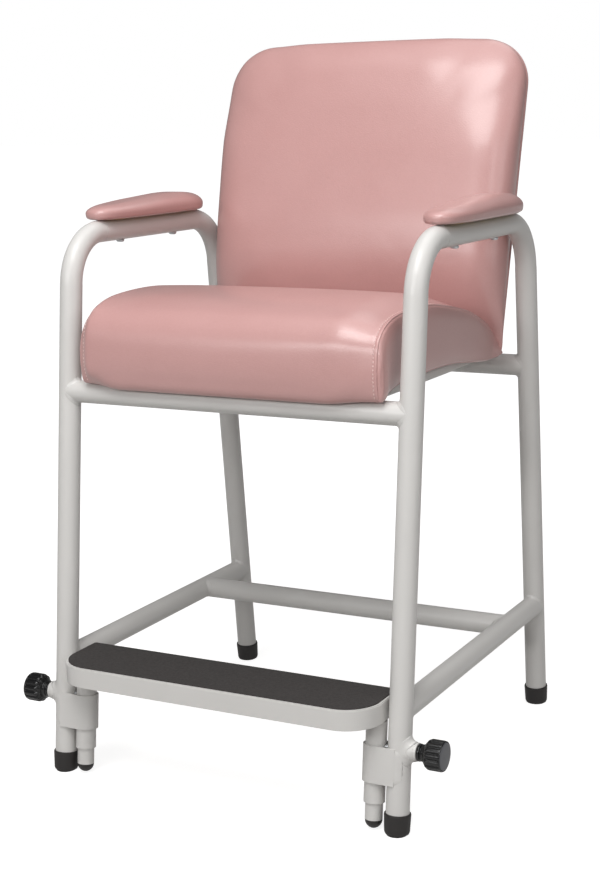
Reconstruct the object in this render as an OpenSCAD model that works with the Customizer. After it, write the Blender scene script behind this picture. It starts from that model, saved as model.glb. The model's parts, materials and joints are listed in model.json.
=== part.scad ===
// Hip chair with a height-adjustable footrest. Millimetres, Z up, the chair faces -Y.
// The origin is on the floor, at the centre of the overall bounding box.
// Left and right are the sitter's own: left is +X.
// Two bent side frames are joined by coped cross tubes. The footrest hangs on two posts
// that slide in guide tubes beside the front legs and are held by hand screws.

/* [Main tubes] */
// Outer diameter of the frame tube
tube_d = 31.75; // [25:0.25:38]
// Wall of the frame tube
tube_wall = 1.6; // [1:0.1:3]
// Distance from the centre plane to each leg axis
frame_half_w = 263.8; // [220:0.1:320]
// Height of the arm tube's axis
arm_z = 766.3; // [650:0.1:850]
// Centre-line radius of the two bends in a side frame
bend_r = 75; // [55:1:110]
// Distance the front leg's axis meets the floor ahead of the origin
front_foot_y = 255.2; // [200:0.1:320]
// Distance the rear leg's axis meets the floor behind the origin
rear_foot_y = 286.8; // [220:0.1:340]
// Lean of the front legs from upright, in degrees
front_lean = 6.05; // [0:0.05:12]
// Lean of the rear legs from upright, in degrees
rear_lean = 5.23; // [0:0.05:12]
// Height of the two seat cross tubes' axes
cross_z = 548.7; // [450:0.1:650]
// Height of the low stretchers' axes
stretcher_z = 165; // [120:1:260]
// Distance of the rear stretcher behind the origin
rear_stretcher_y = 153; // [80:1:220]
// How far a seat rail lies inside the side edge of the seat board
rail_in = 58; // [30:1:90]
// Clearance at each coped and welded tube end
weld_gap = 0.2; // [0.1:0.05:0.4]

/* [Rubber foot tips] */
// Outer diameter at the rim of a tip
tip_d = 36.2; // [33:0.1:44]
// Height of a tip
tip_h = 28.5; // [20:0.5:45]
// Rubber between the tube's end and the floor
tip_sole = 8; // [4:0.5:15]
// Rounding at the bottom edge of a tip
tip_edge = 4; // [1:0.5:8]
// Clearance between a tip and the tube in it
tip_gap = 0.15; // [0.05:0.05:0.3]

/* [Seat] */
// Gap between the side of the seat cushion and a front leg
seat_leg_gap = 18.9; // [12:0.1:45]
// Front of the seat cushion, ahead of the origin
seat_front_y = 228; // [215:1:250]
// Back of the seat cushion, behind the origin
seat_back_y = 176.5; // [130:0.5:177]
// Height of the cushion's side seam behind its front roll
seat_top_z = 672; // [640:1:700]
// Height of the cushion's top at its back edge
seat_back_z = 616; // [600:1:630]
// Fullness of the cushion's middle above its side seams
seat_crown = 13; // [4:1:20]
// Rounding of the cushion's side edges
seat_edge_r = 13; // [8:1:20]
// Thickness of the seat board
seat_board_t = 12; // [9:1:18]
// How far the board lies inside the side of the cushion
seat_board_side_in = 34; // [24:1:70]
// Margin of the board behind the cushion's front
seat_board_front_in = 36; // [30:1:80]
// Margin of the board ahead of the cushion's back
seat_board_back_in = 16; // [10:1:60]

/* [Back] */
// Rake of the back from upright, in degrees
back_rake = 12.7; // [10:0.1:16]
// Height of the back cushion's lower edge
back_bottom_z = 571; // [568:1:590]
// Depth position of the back's rear face at its lower edge
back_rear_y = 193; // [191:1:215]
// Length of the back cushion along its rake
back_len = 463; // [400:1:560]
// Thickness of the back cushion where it is fullest
back_t = 70; // [55:1:72]
// Gap between the side of the back and a side frame, at the bottom
back_low_gap = 16.4; // [12:0.1:45]
// The same gap at the top of the back
back_top_gap = 3.4; // [2:0.1:35]
// Corner radius at the top of the back
back_corner_r = 80; // [60:1:110]
// Corner radius at the bottom of the back
back_low_corner_r = 34; // [20:1:60]
// Edge rounding of the back cushion
back_edge_r = 24; // [10:1:30]
// Thickness of the back board
back_board_t = 10; // [6:1:15]
// Margin of the back board inside the cushion's edge
back_board_in = 14; // [6:1:40]

/* [Back uprights] */
// Diameter of the tube behind the back board
upright_d = 22.2; // [16:0.1:28]
// Height of the uprights' top ends
upright_top_z = 905; // [780:1:1000]
// Height of the lower bolts
back_bolt_low_z = 660; // [600:1:720]
// Height of the upper bolts
back_bolt_high_z = 868; // [760:1:960]

/* [Arms] */
// Length of an arm pad
pad_len = 268; // [200:1:360]
// Width of an arm pad
pad_w = 66; // [45:1:85]
// Thickness of pad and board together
pad_t = 30; // [20:0.5:35]
// Height of the crowned part of a pad
pad_crown_h = 18; // [8:0.5:20]
// Middle of the pad, behind the origin
pad_mid_y = 19.5; // [-40:0.5:80]
// Distance between the two screws of a pad
pad_screw_pitch = 145; // [90:1:220]
// Thickness of the board in a pad
pad_board_t = 8; // [6:0.5:10]
// Margin of the board inside the pad's edge
pad_board_in = 9; // [6:0.5:12]

/* [Footrest] */
// Gap between a post and the tray's side lip
tray_post_gap = 0.2; // [0.1:0.05:0.4]
// Front edge of the tray, ahead of the origin
tray_front_y = 303.4; // [270:0.1:340]
// Depth of the tray from front to back
tray_depth = 107; // [80:1:160]
// Height of the tray's top at its lowest setting
tray_top_z = 177.5; // [150:0.5:260]
// Height of the tray's turned-down lip
tray_lip = 28; // [15:1:45]
// Sheet thickness of the tray
tray_t = 2; // [1.2:0.1:3]
// Radius of the tray's two front corners
tray_corner_r = 51; // [20:1:60]
// Radius of the tray's two rear corners
tray_rear_r = 7; // [4:0.5:20]
// Edge softening of the tray
tray_edge = 1.5; // [0.5:0.1:3]
// Thickness of the anti-slip mat
mat_t = 1.5; // [0.8:0.1:4]
// Margin of the mat inside the tray's edge
mat_in = 3.5; // [2:0.5:12]
// Travel of the footrest along its posts
tray_travel = 75; // [30:1:76]

/* [Footrest posts and guides] */
// Outer diameter of a guide tube
guide_d = 28.6; // [24:0.1:34]
// Radial running clearance of a post in its guide
guide_fit = 0.05; // [0.02:0.01:0.1]
// Outer diameter of a post
post_d = 23.8; // [20:0.1:25]
// Distance from a leg's axis to the guide's axis
guide_offset = 34.1; // [30:0.1:45]
// Height of a guide's lower end
guide_low_z = 38; // [30:1:60]
// Height of a guide's upper end
guide_high_z = 147.6; // [125:0.1:147.8]
// Length of post left below the hand screw at the highest setting
post_reserve = 24; // [20:1:25]
// Height of the domed plug under a post
plug_h = 12.5; // [5:0.5:12.5]
// Length of the plug's stem in the post
plug_stem = 14; // [8:1:25]
// Thickness of the strap round a guide
strap_t = 2.8; // [2:0.1:4]
// Height of the strap's lower edge
strap_low_z = 67; // [60:1:90]
// Height of the strap's upper edge
strap_high_z = 116.5; // [100:0.5:130]

/* [Hand screws] */
// Height of the screws' axes
screw_z = 113.5; // [112:0.5:118]
// Diameter of the clamp screw
stud_d = 8; // [6:0.5:10]
// Radial running clearance of the screw in its threaded bush
stud_fit = 0.05; // [0.02:0.01:0.1]
// Diameter of the clamp tip on the screw's inner end
clamp_tip_d = 7; // [5:0.5:9]
// Clearance between the clamp tip and the post
clamp_gap = 0.2; // [0.1:0.05:0.3]
// Diameter of the bush welded on the leg
bush_d = 24; // [18:0.5:30]
// Diameter of the bush's flared weld foot
bush_foot_d = 31; // [24:0.5:31]
// Distance the bush stands out from the leg
bush_out = 10.7; // [6:0.1:20]
// Diameter of the knob's neck
knob_neck_d = 23; // [16:0.5:28]
// Length of the knob's neck
knob_neck_l = 14.2; // [8:0.1:20]
// Diameter of the fluted knob
knob_d = 40.6; // [30:0.1:50]
// Length of the fluted knob
knob_l = 21.4; // [12:0.1:30]
// Thickness of the smooth cap at the knob's end
knob_cap = 5; // [3:0.5:8]
// Number of flutes round a knob
knob_flutes = 12; // [6:1:20]

/* [Fasteners] */
// Shank diameter of the seat screws
seat_screw_d = 6; // [4:0.5:8]
// Shank diameter of the arm screws
arm_screw_d = 5; // [4:0.5:6]
// Shank diameter of the back bolts
back_bolt_d = 6; // [5:0.5:8]
// Distance of the front seat screws ahead of the origin
seat_screw_front_y = 130; // [80:1:170]
// Distance of the rear seat screws behind the origin
seat_screw_rear_y = 90; // [40:1:130]

/* [Hidden] */

// Number of facets of round solids
round_fn = 96;
// Number of facets of the spheres in a padded form
soft_fn = 32;
// Side sign of the sitter's left
left_side = 1;
// Side sign of the sitter's right
right_side = -1;

tube_r = tube_d / 2;
bore_r = tube_r - tube_wall;
cope_r = tube_r + weld_gap;
// Overrun of every cutting solid past the face it cuts
cut_over = 2;
// Gap between pieces that seat on each other without being welded
seat_gap = 0.15;
// Gap between a soft cover and its neighbours
soft_gap = 0.4;

front_share = tan(front_lean);
rear_share = tan(rear_lean);
function front_y(z) = -front_foot_y + z * front_share;
function rear_y(z) = rear_foot_y - z * rear_share;

// Side-frame bends: tangent lengths and centres
front_tan_l = bend_r * tan((90 - front_lean) / 2);
rear_tan_l = bend_r * tan((90 - rear_lean) / 2);
front_bend_y = front_y(arm_z) + front_tan_l;
rear_bend_y = rear_y(arm_z) - rear_tan_l;
bend_z = arm_z - bend_r;
// Loss of radius where the tube is bent, and the angle a bend laps into the straights
bend_thinning = 0.2;
bend_lap = 1;
front_leg_top = bend_z + bend_r * sin(front_lean);
rear_leg_top = bend_z + bend_r * sin(rear_lean);

guide_r = guide_d / 2;
post_r = post_d / 2;
guide_bore_r = post_r + guide_fit;
guide_x = frame_half_w - guide_offset;
tray_half_w = guide_x + post_r + tray_post_gap + tray_t;
post_low_z = screw_z - post_reserve - tray_travel;
post_wall = tube_wall;
tray_under_z = tray_top_z - tray_t;
tray_low_z = tray_top_z - tray_lip;

stud_r = stud_d / 2;
screw_y = front_y(screw_z);
// Length of the swivel tip, and the clearance of the screw's holes in leg and guide
clamp_tip_l = 3;
hole_gap = 0.5;
clamp_tip_x = guide_x + post_r + clamp_gap;
stud_in_x = clamp_tip_x + clamp_tip_l;
bush_end_x = frame_half_w + tube_r + bush_out;
knob_gap = 0.4;
// Share of the bush's reach that its weld foot takes, and flute radius as a share of the knob
bush_foot_share = 0.55;
flute_share = 0.075;
knob_neck_x = bush_end_x + knob_gap;
knob_x = knob_neck_x + knob_neck_l;
knob_end_x = knob_x + knob_l;
stud_out_x = knob_end_x - knob_cap - clamp_tip_l;

// Seat
frame_in_x = frame_half_w - tube_r;
seat_half_w = frame_in_x - seat_leg_gap;
seat_board_half_w = seat_half_w - seat_board_side_in;
rail_x = seat_board_half_w - rail_in;
back_half_low = frame_in_x - back_low_gap;
back_half_top = frame_in_x - back_top_gap;
board_z = cross_z + tube_r + seat_gap;
cushion_low_z = board_z + seat_gap;
board_top_z = board_z + seat_board_t;
board_front_y = -seat_front_y + seat_board_front_in;
board_back_y = seat_back_y - seat_board_back_in;
// The cushion's profile is drawn round discs: front roll, three along the top, back roll
seat_roll_r = (seat_top_z - cushion_low_z) / 2;
seat_back_r = (seat_back_z - cushion_low_z) / 2;
// Places of the three along the depth, and their heights, as shares of depth and front height
seat_profile_shares = [[0.4, 1], [0.61, 0.89], [0.78, 0.74]];
// Distance from the side seam to where the cushion is full, as a share of its half width
seat_full_share = 0.13;
// Largest rounding of a disc's rim, as a share of the disc's radius
rim_share = 0.45;

// Back: local frame, origin at the lower edge of the rear face
upright_r = upright_d / 2;
upright_wall = tube_wall;
upright_gap = seat_gap;
// Head and stem of the cap on an upright
cap_head_t = 3;
cap_stem_l = 10;
// Shares of the back's length between which it is fullest, and its thickness shares elsewhere
belly_share = 0.27;
chest_share = 0.62;
low_thick_share = 0.2;
top_thick_share = 0.7;
edge_share = 0.6;
// Head sizes of the fasteners
screw_head_d = 12;
screw_head_h = 3.2;
washer_t = 1;
bolt_head_d = 11;
bolt_head_h = 4;
pilot_gap = 0.05;
shank_gap = 0.3;
// Share of a board's thickness that a screw enters
screw_bite_share = 0.75;

// Arms
pad_r = pad_w / 2;
pad_low_z = arm_z + tube_r + seat_gap;
pad_cover_z = pad_low_z + seat_gap;
// Share of a pad's half width that is flat below, and that is rounded above
pad_flat_share = 0.88;
pad_round_share = 0.75;

// A round bar between two points
module bar(p, q, r) {
    v = q - p;
    l = norm(v);
    translate(p)
        rotate([0, acos(v[2] / l), atan2(v[1], v[0])])
            cylinder(h = l, r = r, $fn = round_fn);
}

// A bar along X
module x_bar(x0, x1, y, z, r) {
    translate([x0, y, z])
        rotate([0, 90, 0])
            cylinder(h = x1 - x0, r = r, $fn = round_fn);
}

// A bar along Z
module z_bar(x, y, z0, z1, r) {
    translate([x, y, z0])
        cylinder(h = z1 - z0, r = r, $fn = round_fn);
}

// A point on a front leg's axis, and on a rear leg's axis
function front_pt(side, z) = [side * frame_half_w, front_y(z), z];
function rear_pt(side, z) = [side * frame_half_w, rear_y(z), z];

// A bend from angle a0 to a1 about the X direction, lapped a little into the straight tubes
module bend(side, y, a0, a1, r) {
    translate([side * frame_half_w, y, bend_z])
        rotate([90, 0, 90])
            rotate([0, 0, a0 - bend_lap])
                rotate_extrude(angle = a1 - a0 + bend_lap * 2, $fn = round_fn)
                    translate([bend_r, 0])
                        circle(r = r - bend_thinning, $fn = round_fn);
}

// The solid of one bent side frame at radius r, its ends run on by more
module frame_solid(side, r, more) {
    bar(front_pt(side, tip_sole - more), front_pt(side, front_leg_top), r);
    bend(side, front_bend_y, 90, 180 - front_lean, r);
    bar([side * frame_half_w, front_bend_y, arm_z],
        [side * frame_half_w, rear_bend_y, arm_z], r);
    bend(side, rear_bend_y, rear_lean, 90, r);
    bar(rear_pt(side, tip_sole - more), rear_pt(side, rear_leg_top), r);
}

// Straight leg solids only, for coping the tubes that meet them
module front_leg_cut(side) {
    bar(front_pt(side, stretcher_z - cope_r * 4), front_pt(side, cross_z + cope_r * 4), cope_r);
}

module rear_leg_cut(side) {
    bar(rear_pt(side, stretcher_z - cope_r * 4), rear_pt(side, cross_z + cope_r * 4), cope_r);
}

module side_frame(side) {
    color([0.84, 0.83, 0.82])
        difference() {
            frame_solid(side, tube_r, 0);
            frame_solid(side, bore_r, cut_over);
            // Hole for the clamp screw through both walls of the front leg
            x_bar(side * frame_half_w - tube_d, side * frame_half_w + tube_d,
                screw_y, screw_z, stud_r + hole_gap);
            // Holes for the arm screws, through both walls
            for (end = [-1, 1])
                z_bar(side * frame_half_w, pad_mid_y + end * pad_screw_pitch / 2,
                    arm_z - tube_d, arm_z + tube_d, arm_screw_d / 2 + shank_gap);
        }
}

// A straight tube along X at a given depth and height, coped onto both side frames
module cross_tube(y, z, front) {
    difference() {
        x_bar(-frame_half_w, frame_half_w, y, z, tube_r);
        x_bar(-frame_half_w - cut_over, frame_half_w + cut_over, y, z, bore_r);
        for (side = [left_side, right_side])
            if (front)
                front_leg_cut(side);
            else
                rear_leg_cut(side);
    }
}

module front_cross_tube() {
    color([0.84, 0.83, 0.82])
        cross_tube(front_y(cross_z), cross_z, true);
}

module rear_cross_tube() {
    color([0.84, 0.83, 0.82])
        cross_tube(rear_y(cross_z), cross_z, false);
}

module seat_rail(side) {
    color([0.84, 0.83, 0.82])
        difference() {
            bar([side * rail_x, front_y(cross_z), cross_z],
                [side * rail_x, rear_y(cross_z), cross_z], tube_r);
            bar([side * rail_x, front_y(cross_z) - cut_over, cross_z],
                [side * rail_x, rear_y(cross_z) + cut_over, cross_z], bore_r);
            x_bar(-frame_half_w, frame_half_w, front_y(cross_z), cross_z, cope_r);
            x_bar(-frame_half_w, frame_half_w, rear_y(cross_z), cross_z, cope_r);
            for (y = [-seat_screw_front_y, seat_screw_rear_y])
                z_bar(side * rail_x, y, cross_z - tube_d, cross_z + tube_d,
                    seat_screw_d / 2 + shank_gap);
        }
}

module side_stretcher(side) {
    color([0.84, 0.83, 0.82])
        difference() {
            bar(front_pt(side, stretcher_z), rear_pt(side, stretcher_z), tube_r);
            bar([side * frame_half_w, front_y(stretcher_z) - cut_over, stretcher_z],
                [side * frame_half_w, rear_y(stretcher_z) + cut_over, stretcher_z], bore_r);
            front_leg_cut(side);
            rear_leg_cut(side);
        }
}

module rear_stretcher() {
    color([0.84, 0.83, 0.82])
        difference() {
            x_bar(-frame_half_w, frame_half_w, rear_stretcher_y, stretcher_z, tube_r);
            x_bar(-frame_half_w - cut_over, frame_half_w + cut_over,
                rear_stretcher_y, stretcher_z, bore_r);
            for (side = [left_side, right_side])
                bar(front_pt(side, stretcher_z), rear_pt(side, stretcher_z), cope_r);
        }
}

// Rear face of the back board at height z, and the axis of an upright behind it
function back_y(z) = back_rear_y + (z - back_bottom_z) * tan(back_rake);
function upright_y(z) = back_y(z) + (upright_r + upright_gap) / cos(back_rake);

// Moves a solid drawn in the back's own frame into place
module in_back() {
    translate([0, back_rear_y, back_bottom_z])
        rotate([-back_rake, 0, 0])
            children();
}

// Height of a point along the back's rake for a world height on its rear face
function back_l(z) = (z - back_bottom_z) / cos(back_rake);

module back_upright(side) {
    color([0.84, 0.83, 0.82])
        difference() {
            bar([side * rail_x, upright_y(cross_z), cross_z],
                [side * rail_x, upright_y(upright_top_z), upright_top_z], upright_r);
            bar([side * rail_x, upright_y(cross_z - cut_over), cross_z - cut_over],
                [side * rail_x, upright_y(upright_top_z + cut_over), upright_top_z + cut_over],
                upright_r - upright_wall);
            bar([side * rail_x, front_y(cross_z), cross_z],
                [side * rail_x, rear_y(cross_z), cross_z], cope_r);
            x_bar(-frame_half_w, frame_half_w, rear_y(cross_z), cross_z, cope_r);
            in_back()
                for (z = [back_bolt_low_z, back_bolt_high_z])
                    translate([side * rail_x, -cut_over, back_l(z)])
                        rotate([-90, 0, 0])
                            cylinder(h = upright_d * 2, r = back_bolt_d / 2 + shank_gap,
                                $fn = round_fn);
        }
}

// Plastic cap over the open top end of an upright
module upright_cap(side) {
    color([0.12, 0.12, 0.12])
        translate([side * rail_x, upright_y(upright_top_z), upright_top_z])
            rotate([-back_rake, 0, 0])
                translate([0, 0, seat_gap])
                    rotate_extrude($fn = round_fn)
                        polygon([[0, -cap_stem_l], [upright_r - upright_wall - seat_gap, -cap_stem_l],
                            [upright_r - upright_wall - seat_gap, 0], [upright_r, 0],
                            [upright_r, cap_head_t / 2], [upright_r - cap_head_t / 2, cap_head_t],
                            [0, cap_head_t]]);
}

// A tip drawn along its leg's axis from the foot point and cut flat at the floor
module foot_tip(foot, lean) {
    r = tip_d / 2;
    color([0.08, 0.07, 0.07])
        difference() {
            translate(foot)
                rotate([lean, 0, 0])
                    rotate_extrude($fn = round_fn)
                        polygon([[0, -tip_edge], [r - tip_edge, -tip_edge],
                            [r - tip_edge, 0], [r - tip_edge / 2, tip_edge / 3],
                            [r - tip_edge / 4, tip_edge], [r, tip_h - tip_edge / 2],
                            [r - tip_edge / 8, tip_h], [tube_r + tip_gap, tip_h],
                            [tube_r + tip_gap, tip_sole - tip_gap], [0, tip_sole - tip_gap]]);
            translate([foot[0] - tip_d, foot[1] - tip_d, -tip_d])
                cube([tip_d * 2, tip_d * 2, tip_d]);
        }
}

module front_foot_tip(side) {
    foot_tip(front_pt(side, 0), -front_lean);
}

module rear_foot_tip(side) {
    foot_tip(rear_pt(side, 0), rear_lean);
}

module seat_board() {
    color([0.72, 0.58, 0.40])
        difference() {
            translate([-seat_board_half_w, board_front_y, board_z])
                cube([seat_board_half_w * 2, board_back_y - board_front_y, seat_board_t]);
            for (side = [left_side, right_side])
                for (y = [-seat_screw_front_y, seat_screw_rear_y])
                    z_bar(side * rail_x, y, board_z - cut_over,
                        board_z + seat_board_t * screw_bite_share, seat_screw_d / 2 + pilot_gap);
        }
}

// A disc on edge with a rounded rim, its outer face at x
module seat_disc(side, x, y, z, r) {
    e = min(seat_edge_r, r * rim_share);
    translate([side * (x - e), y, z])
        rotate([0, 90, 0])
            rotate_extrude($fn = soft_fn)
                translate([r - e, 0])
                    circle(r = e, $fn = soft_fn / 2);
}

module seat_cushion() {
    low = cushion_low_z;
    depth = seat_front_y + seat_back_y;
    full_x = seat_half_w * (1 - seat_full_share);
    color([0.80, 0.58, 0.56])
        difference() {
            hull() {
                for (side = [left_side, right_side])
                    for (at = [[seat_half_w, 0], [full_x, seat_crown]]) {
                        seat_disc(side, at[0], -seat_front_y + seat_roll_r,
                            low + seat_roll_r + at[1], seat_roll_r);
                        for (p = seat_profile_shares)
                            seat_disc(side, at[0], -seat_front_y + depth * p[0],
                                low + seat_roll_r * p[1] + at[1], seat_roll_r * p[1]);
                        seat_disc(side, at[0], seat_back_y - seat_back_r,
                            low + seat_back_r, seat_back_r);
                    }
            }
            translate([-seat_board_half_w - soft_gap, board_front_y - soft_gap, low - cut_over])
                cube([(seat_board_half_w + soft_gap) * 2,
                    board_back_y - board_front_y + soft_gap * 2,
                    board_top_z + soft_gap - low + cut_over]);
        }
}

// A pan-head screw with its head down at z0, its shank going up to z1
module up_screw(x, y, z0, z1, d) {
    translate([x, y, z0])
        rotate_extrude($fn = round_fn)
            polygon([[0, -screw_head_h], [screw_head_d / 2 - screw_head_h / 2, -screw_head_h],
                [screw_head_d / 2, -screw_head_h / 2], [screw_head_d / 2, 0],
                [d / 2, 0], [d / 2, z1 - z0], [0, z1 - z0]]);
}

module seat_screws() {
    color([0.75, 0.75, 0.76])
        for (side = [left_side, right_side])
            for (y = [-seat_screw_front_y, seat_screw_rear_y])
                up_screw(side * rail_x, y, cross_z - tube_r,
                    board_z + seat_board_t * screw_bite_share - seat_gap, seat_screw_d);
}

// Half width of the back at a share of its length
function back_half_at(l) = back_half_low + (back_half_top - back_half_low) * l;

// Outline of the back in its own frame: X across, Y up the rake
module back_outline(inset) {
    low_r = back_low_corner_r - inset / 2;
    top_r = back_corner_r - inset;
    hull() {
        for (side = [left_side, right_side]) {
            translate([side * (back_half_low - inset - low_r), inset + low_r])
                circle(r = low_r, $fn = round_fn);
            translate([side * (back_half_top - inset - top_r), back_len - inset - top_r])
                circle(r = top_r, $fn = round_fn);
        }
    }
}

module back_board() {
    color([0.72, 0.58, 0.40])
        difference() {
            in_back()
                rotate([90, 0, 0])
                    linear_extrude(height = back_board_t)
                        back_outline(back_board_in);
            back_bolt_bores(pilot_gap);
        }
}

module back_cushion() {
    color([0.80, 0.58, 0.56])
        difference() {
            in_back()
                translate([0, -soft_gap, 0])
                    hull() {
                        for (side = [left_side, right_side]) {
                            translate([side * (back_half_low - back_low_corner_r), 0,
                                back_low_corner_r])
                                back_puck(back_low_corner_r, back_t * low_thick_share);
                            for (l = [belly_share, chest_share])
                                translate([side * (back_half_at(l) - back_low_corner_r), 0,
                                    back_len * l])
                                    back_puck(back_low_corner_r, back_t);
                            translate([side * (back_half_top - back_corner_r), 0,
                                back_len - back_corner_r])
                                back_puck(back_corner_r, back_t * top_thick_share);
                        }
                    }
            in_back()
                rotate([90, 0, 0])
                    translate([0, 0, -cut_over])
                        linear_extrude(height = back_board_t + cut_over + soft_gap)
                            back_outline(back_board_in - soft_gap);
        }
}

// A cushion corner: a disc with a rounded front edge, standing on the rear face
module back_puck(r, h) {
    e = min(back_edge_r, h * edge_share);
    rotate([90, 0, 0])
        rotate_extrude($fn = soft_fn * 1.5)
            polygon(concat([[0, 0], [r, 0], [r, h - e]],
                [for (a = [15 : 15 : 75]) [r - e + e * cos(a), h - e + e * sin(a)]],
                [[r - e, h], [0, h]]));
}

// Bores for the four back bolts, drawn from behind the uprights into the board
module back_bolt_bores(gap) {
    in_back()
        for (side = [left_side, right_side])
            for (z = [back_bolt_low_z, back_bolt_high_z])
                translate([side * rail_x, -back_board_t * screw_bite_share, back_l(z)])
                    rotate([-90, 0, 0])
                        cylinder(h = back_board_t * 2, r = back_bolt_d / 2 + gap,
                            $fn = round_fn);
}

module back_bolts() {
    reach = upright_gap + upright_d;
    bite = back_board_t * screw_bite_share - seat_gap;
    color([0.75, 0.75, 0.76])
        in_back()
            for (side = [left_side, right_side])
                for (z = [back_bolt_low_z, back_bolt_high_z])
                    translate([side * rail_x, reach, back_l(z)])
                        rotate([90, 0, 0])
                            rotate_extrude($fn = round_fn)
                                polygon([[0, -bolt_head_h],
                                    [bolt_head_d / 2 - washer_t, -bolt_head_h],
                                    [bolt_head_d / 2, -bolt_head_h / 2],
                                    [bolt_head_d / 2, 0], [back_bolt_d / 2, 0],
                                    [back_bolt_d / 2, reach + bite], [0, reach + bite]]);
}

// Plan of an arm pad, inset from its edge
module pad_plan(side, inset) {
    hull() {
        for (end = [-1, 1])
            translate([side * frame_half_w, pad_mid_y + end * (pad_len / 2 - pad_r)])
                circle(r = pad_r - inset, $fn = round_fn);
    }
}

module arm_board(side) {
    color([0.72, 0.58, 0.40])
        difference() {
            translate([0, 0, pad_low_z])
                linear_extrude(height = pad_board_t)
                    pad_plan(side, pad_board_in);
            for (end = [-1, 1])
                z_bar(side * frame_half_w, pad_mid_y + end * pad_screw_pitch / 2,
                    pad_low_z - cut_over, pad_low_z + pad_board_t * screw_bite_share,
                    arm_screw_d / 2 + pilot_gap);
        }
}

module arm_pad(side) {
    h = pad_t - seat_gap * 2;
    wall = h - pad_crown_h;
    color([0.80, 0.58, 0.56])
        difference() {
            hull() {
                for (end = [-1, 1])
                    translate([side * frame_half_w, pad_mid_y + end * (pad_len / 2 - pad_r),
                        pad_cover_z])
                        rotate_extrude($fn = soft_fn * 1.5)
                            polygon(concat([[0, 0], [pad_r * pad_flat_share, 0], [pad_r, wall / 2]],
                                [for (a = [0 : 15 : 75])
                                    [pad_r * (1 - pad_round_share + pad_round_share * cos(a)),
                                        wall + pad_crown_h * sin(a)]],
                                [[pad_r * (1 - pad_round_share), h], [0, h]]));
            }
            translate([0, 0, pad_low_z - cut_over])
                linear_extrude(height = pad_board_t + cut_over + soft_gap)
                    pad_plan(side, pad_board_in - soft_gap);
        }
}

module arm_screws() {
    color([0.75, 0.75, 0.76])
        for (side = [left_side, right_side])
            for (end = [-1, 1])
                up_screw(side * frame_half_w, pad_mid_y + end * pad_screw_pitch / 2,
                    arm_z - tube_r,
                    pad_low_z + pad_board_t * screw_bite_share - seat_gap, arm_screw_d);
}

// A point on a guide's axis
function guide_pt(side, z) = [side * guide_x, front_y(z), z];

module guide_tube(side) {
    color([0.84, 0.83, 0.82])
        difference() {
            bar(guide_pt(side, guide_low_z), guide_pt(side, guide_high_z), guide_r);
            bar(guide_pt(side, guide_low_z - cut_over), guide_pt(side, guide_high_z + cut_over),
                guide_bore_r);
            x_bar(side > 0 ? guide_x : -guide_x - guide_d,
                side > 0 ? guide_x + guide_d : -guide_x, screw_y, screw_z, stud_r + hole_gap);
        }
}

// Moves a solid drawn along a guide's axis into place, its Z starting at height z
module on_guide(side, z) {
    translate(guide_pt(side, z))
        rotate([-front_lean, 0, 0])
            children();
}

module guide_strap(side) {
    strap_in = guide_r + weld_gap;
    strap_out = strap_in + strap_t;
    color([0.84, 0.83, 0.82])
        on_guide(side, strap_low_z)
            linear_extrude(height = (strap_high_z - strap_low_z) / cos(front_lean))
                difference() {
                    union() {
                        circle(r = strap_out, $fn = round_fn);
                        translate([side > 0 ? 0 : -guide_offset, -strap_out])
                            square([guide_offset, strap_out * 2]);
                    }
                    circle(r = strap_in, $fn = round_fn);
                    translate([side > 0 ? 0 : -guide_offset - cut_over, -strap_in])
                        square([guide_offset + cut_over, strap_in * 2]);
                    translate([side * guide_offset, 0])
                        circle(r = cope_r, $fn = round_fn);
                }
}

module clamp_bush(side) {
    foot_l = bush_out * bush_foot_share;
    r0 = stud_r + stud_fit;
    leg = frame_half_w;
    color([0.84, 0.83, 0.82])
        difference() {
            translate([0, screw_y, screw_z])
                rotate([0, side * 90, 0])
                    rotate_extrude($fn = round_fn)
                        polygon([[r0, leg], [bush_foot_d / 2, leg],
                            [bush_foot_d / 2, leg + tube_r - foot_l / 2],
                            [bush_d / 2, leg + tube_r + foot_l],
                            [bush_d / 2, bush_end_x - washer_t],
                            [bush_d / 2 - washer_t, bush_end_x], [r0, bush_end_x]]);
            bar(front_pt(side, screw_z - bush_foot_d * 2), front_pt(side, screw_z + bush_foot_d * 2),
                cope_r);
        }
}

module footrest_post(side) {
    color([0.84, 0.83, 0.82])
        difference() {
            bar(guide_pt(side, post_low_z), guide_pt(side, tray_top_z + post_d), post_r);
            bar(guide_pt(side, post_low_z - cut_over), guide_pt(side, tray_top_z + post_d * 2),
                post_r - post_wall);
            translate([side * guide_x - guide_d, -tray_front_y - guide_d,
                tray_under_z - weld_gap])
                cube([guide_d * 2, tray_depth * 2, guide_d * 3]);
        }
}

module post_plug(side) {
    stem_r = post_r - post_wall - seat_gap;
    color([0.10, 0.10, 0.10])
        on_guide(side, post_low_z)
            translate([0, 0, -seat_gap])
                rotate_extrude($fn = round_fn)
                    polygon(concat([[0, plug_stem], [stem_r, plug_stem], [stem_r, 0],
                        [post_r, 0]],
                        [for (a = [10 : 10 : 80])
                            [post_r * cos(a), -(plug_h - seat_gap) * sin(a)]],
                        [[0, -(plug_h - seat_gap)]]));
}

// Plan of the tray, inset from its edge: large front corners, small rear ones
module tray_plan(inset) {
    hull() {
        for (side = [left_side, right_side]) {
            translate([side * (tray_half_w - tray_corner_r), -tray_front_y + tray_corner_r])
                circle(r = tray_corner_r - inset, $fn = round_fn);
            translate([side * (tray_half_w - tray_rear_r),
                -tray_front_y + tray_depth - tray_rear_r])
                circle(r = tray_rear_r - inset, $fn = round_fn);
        }
    }
}

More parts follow.
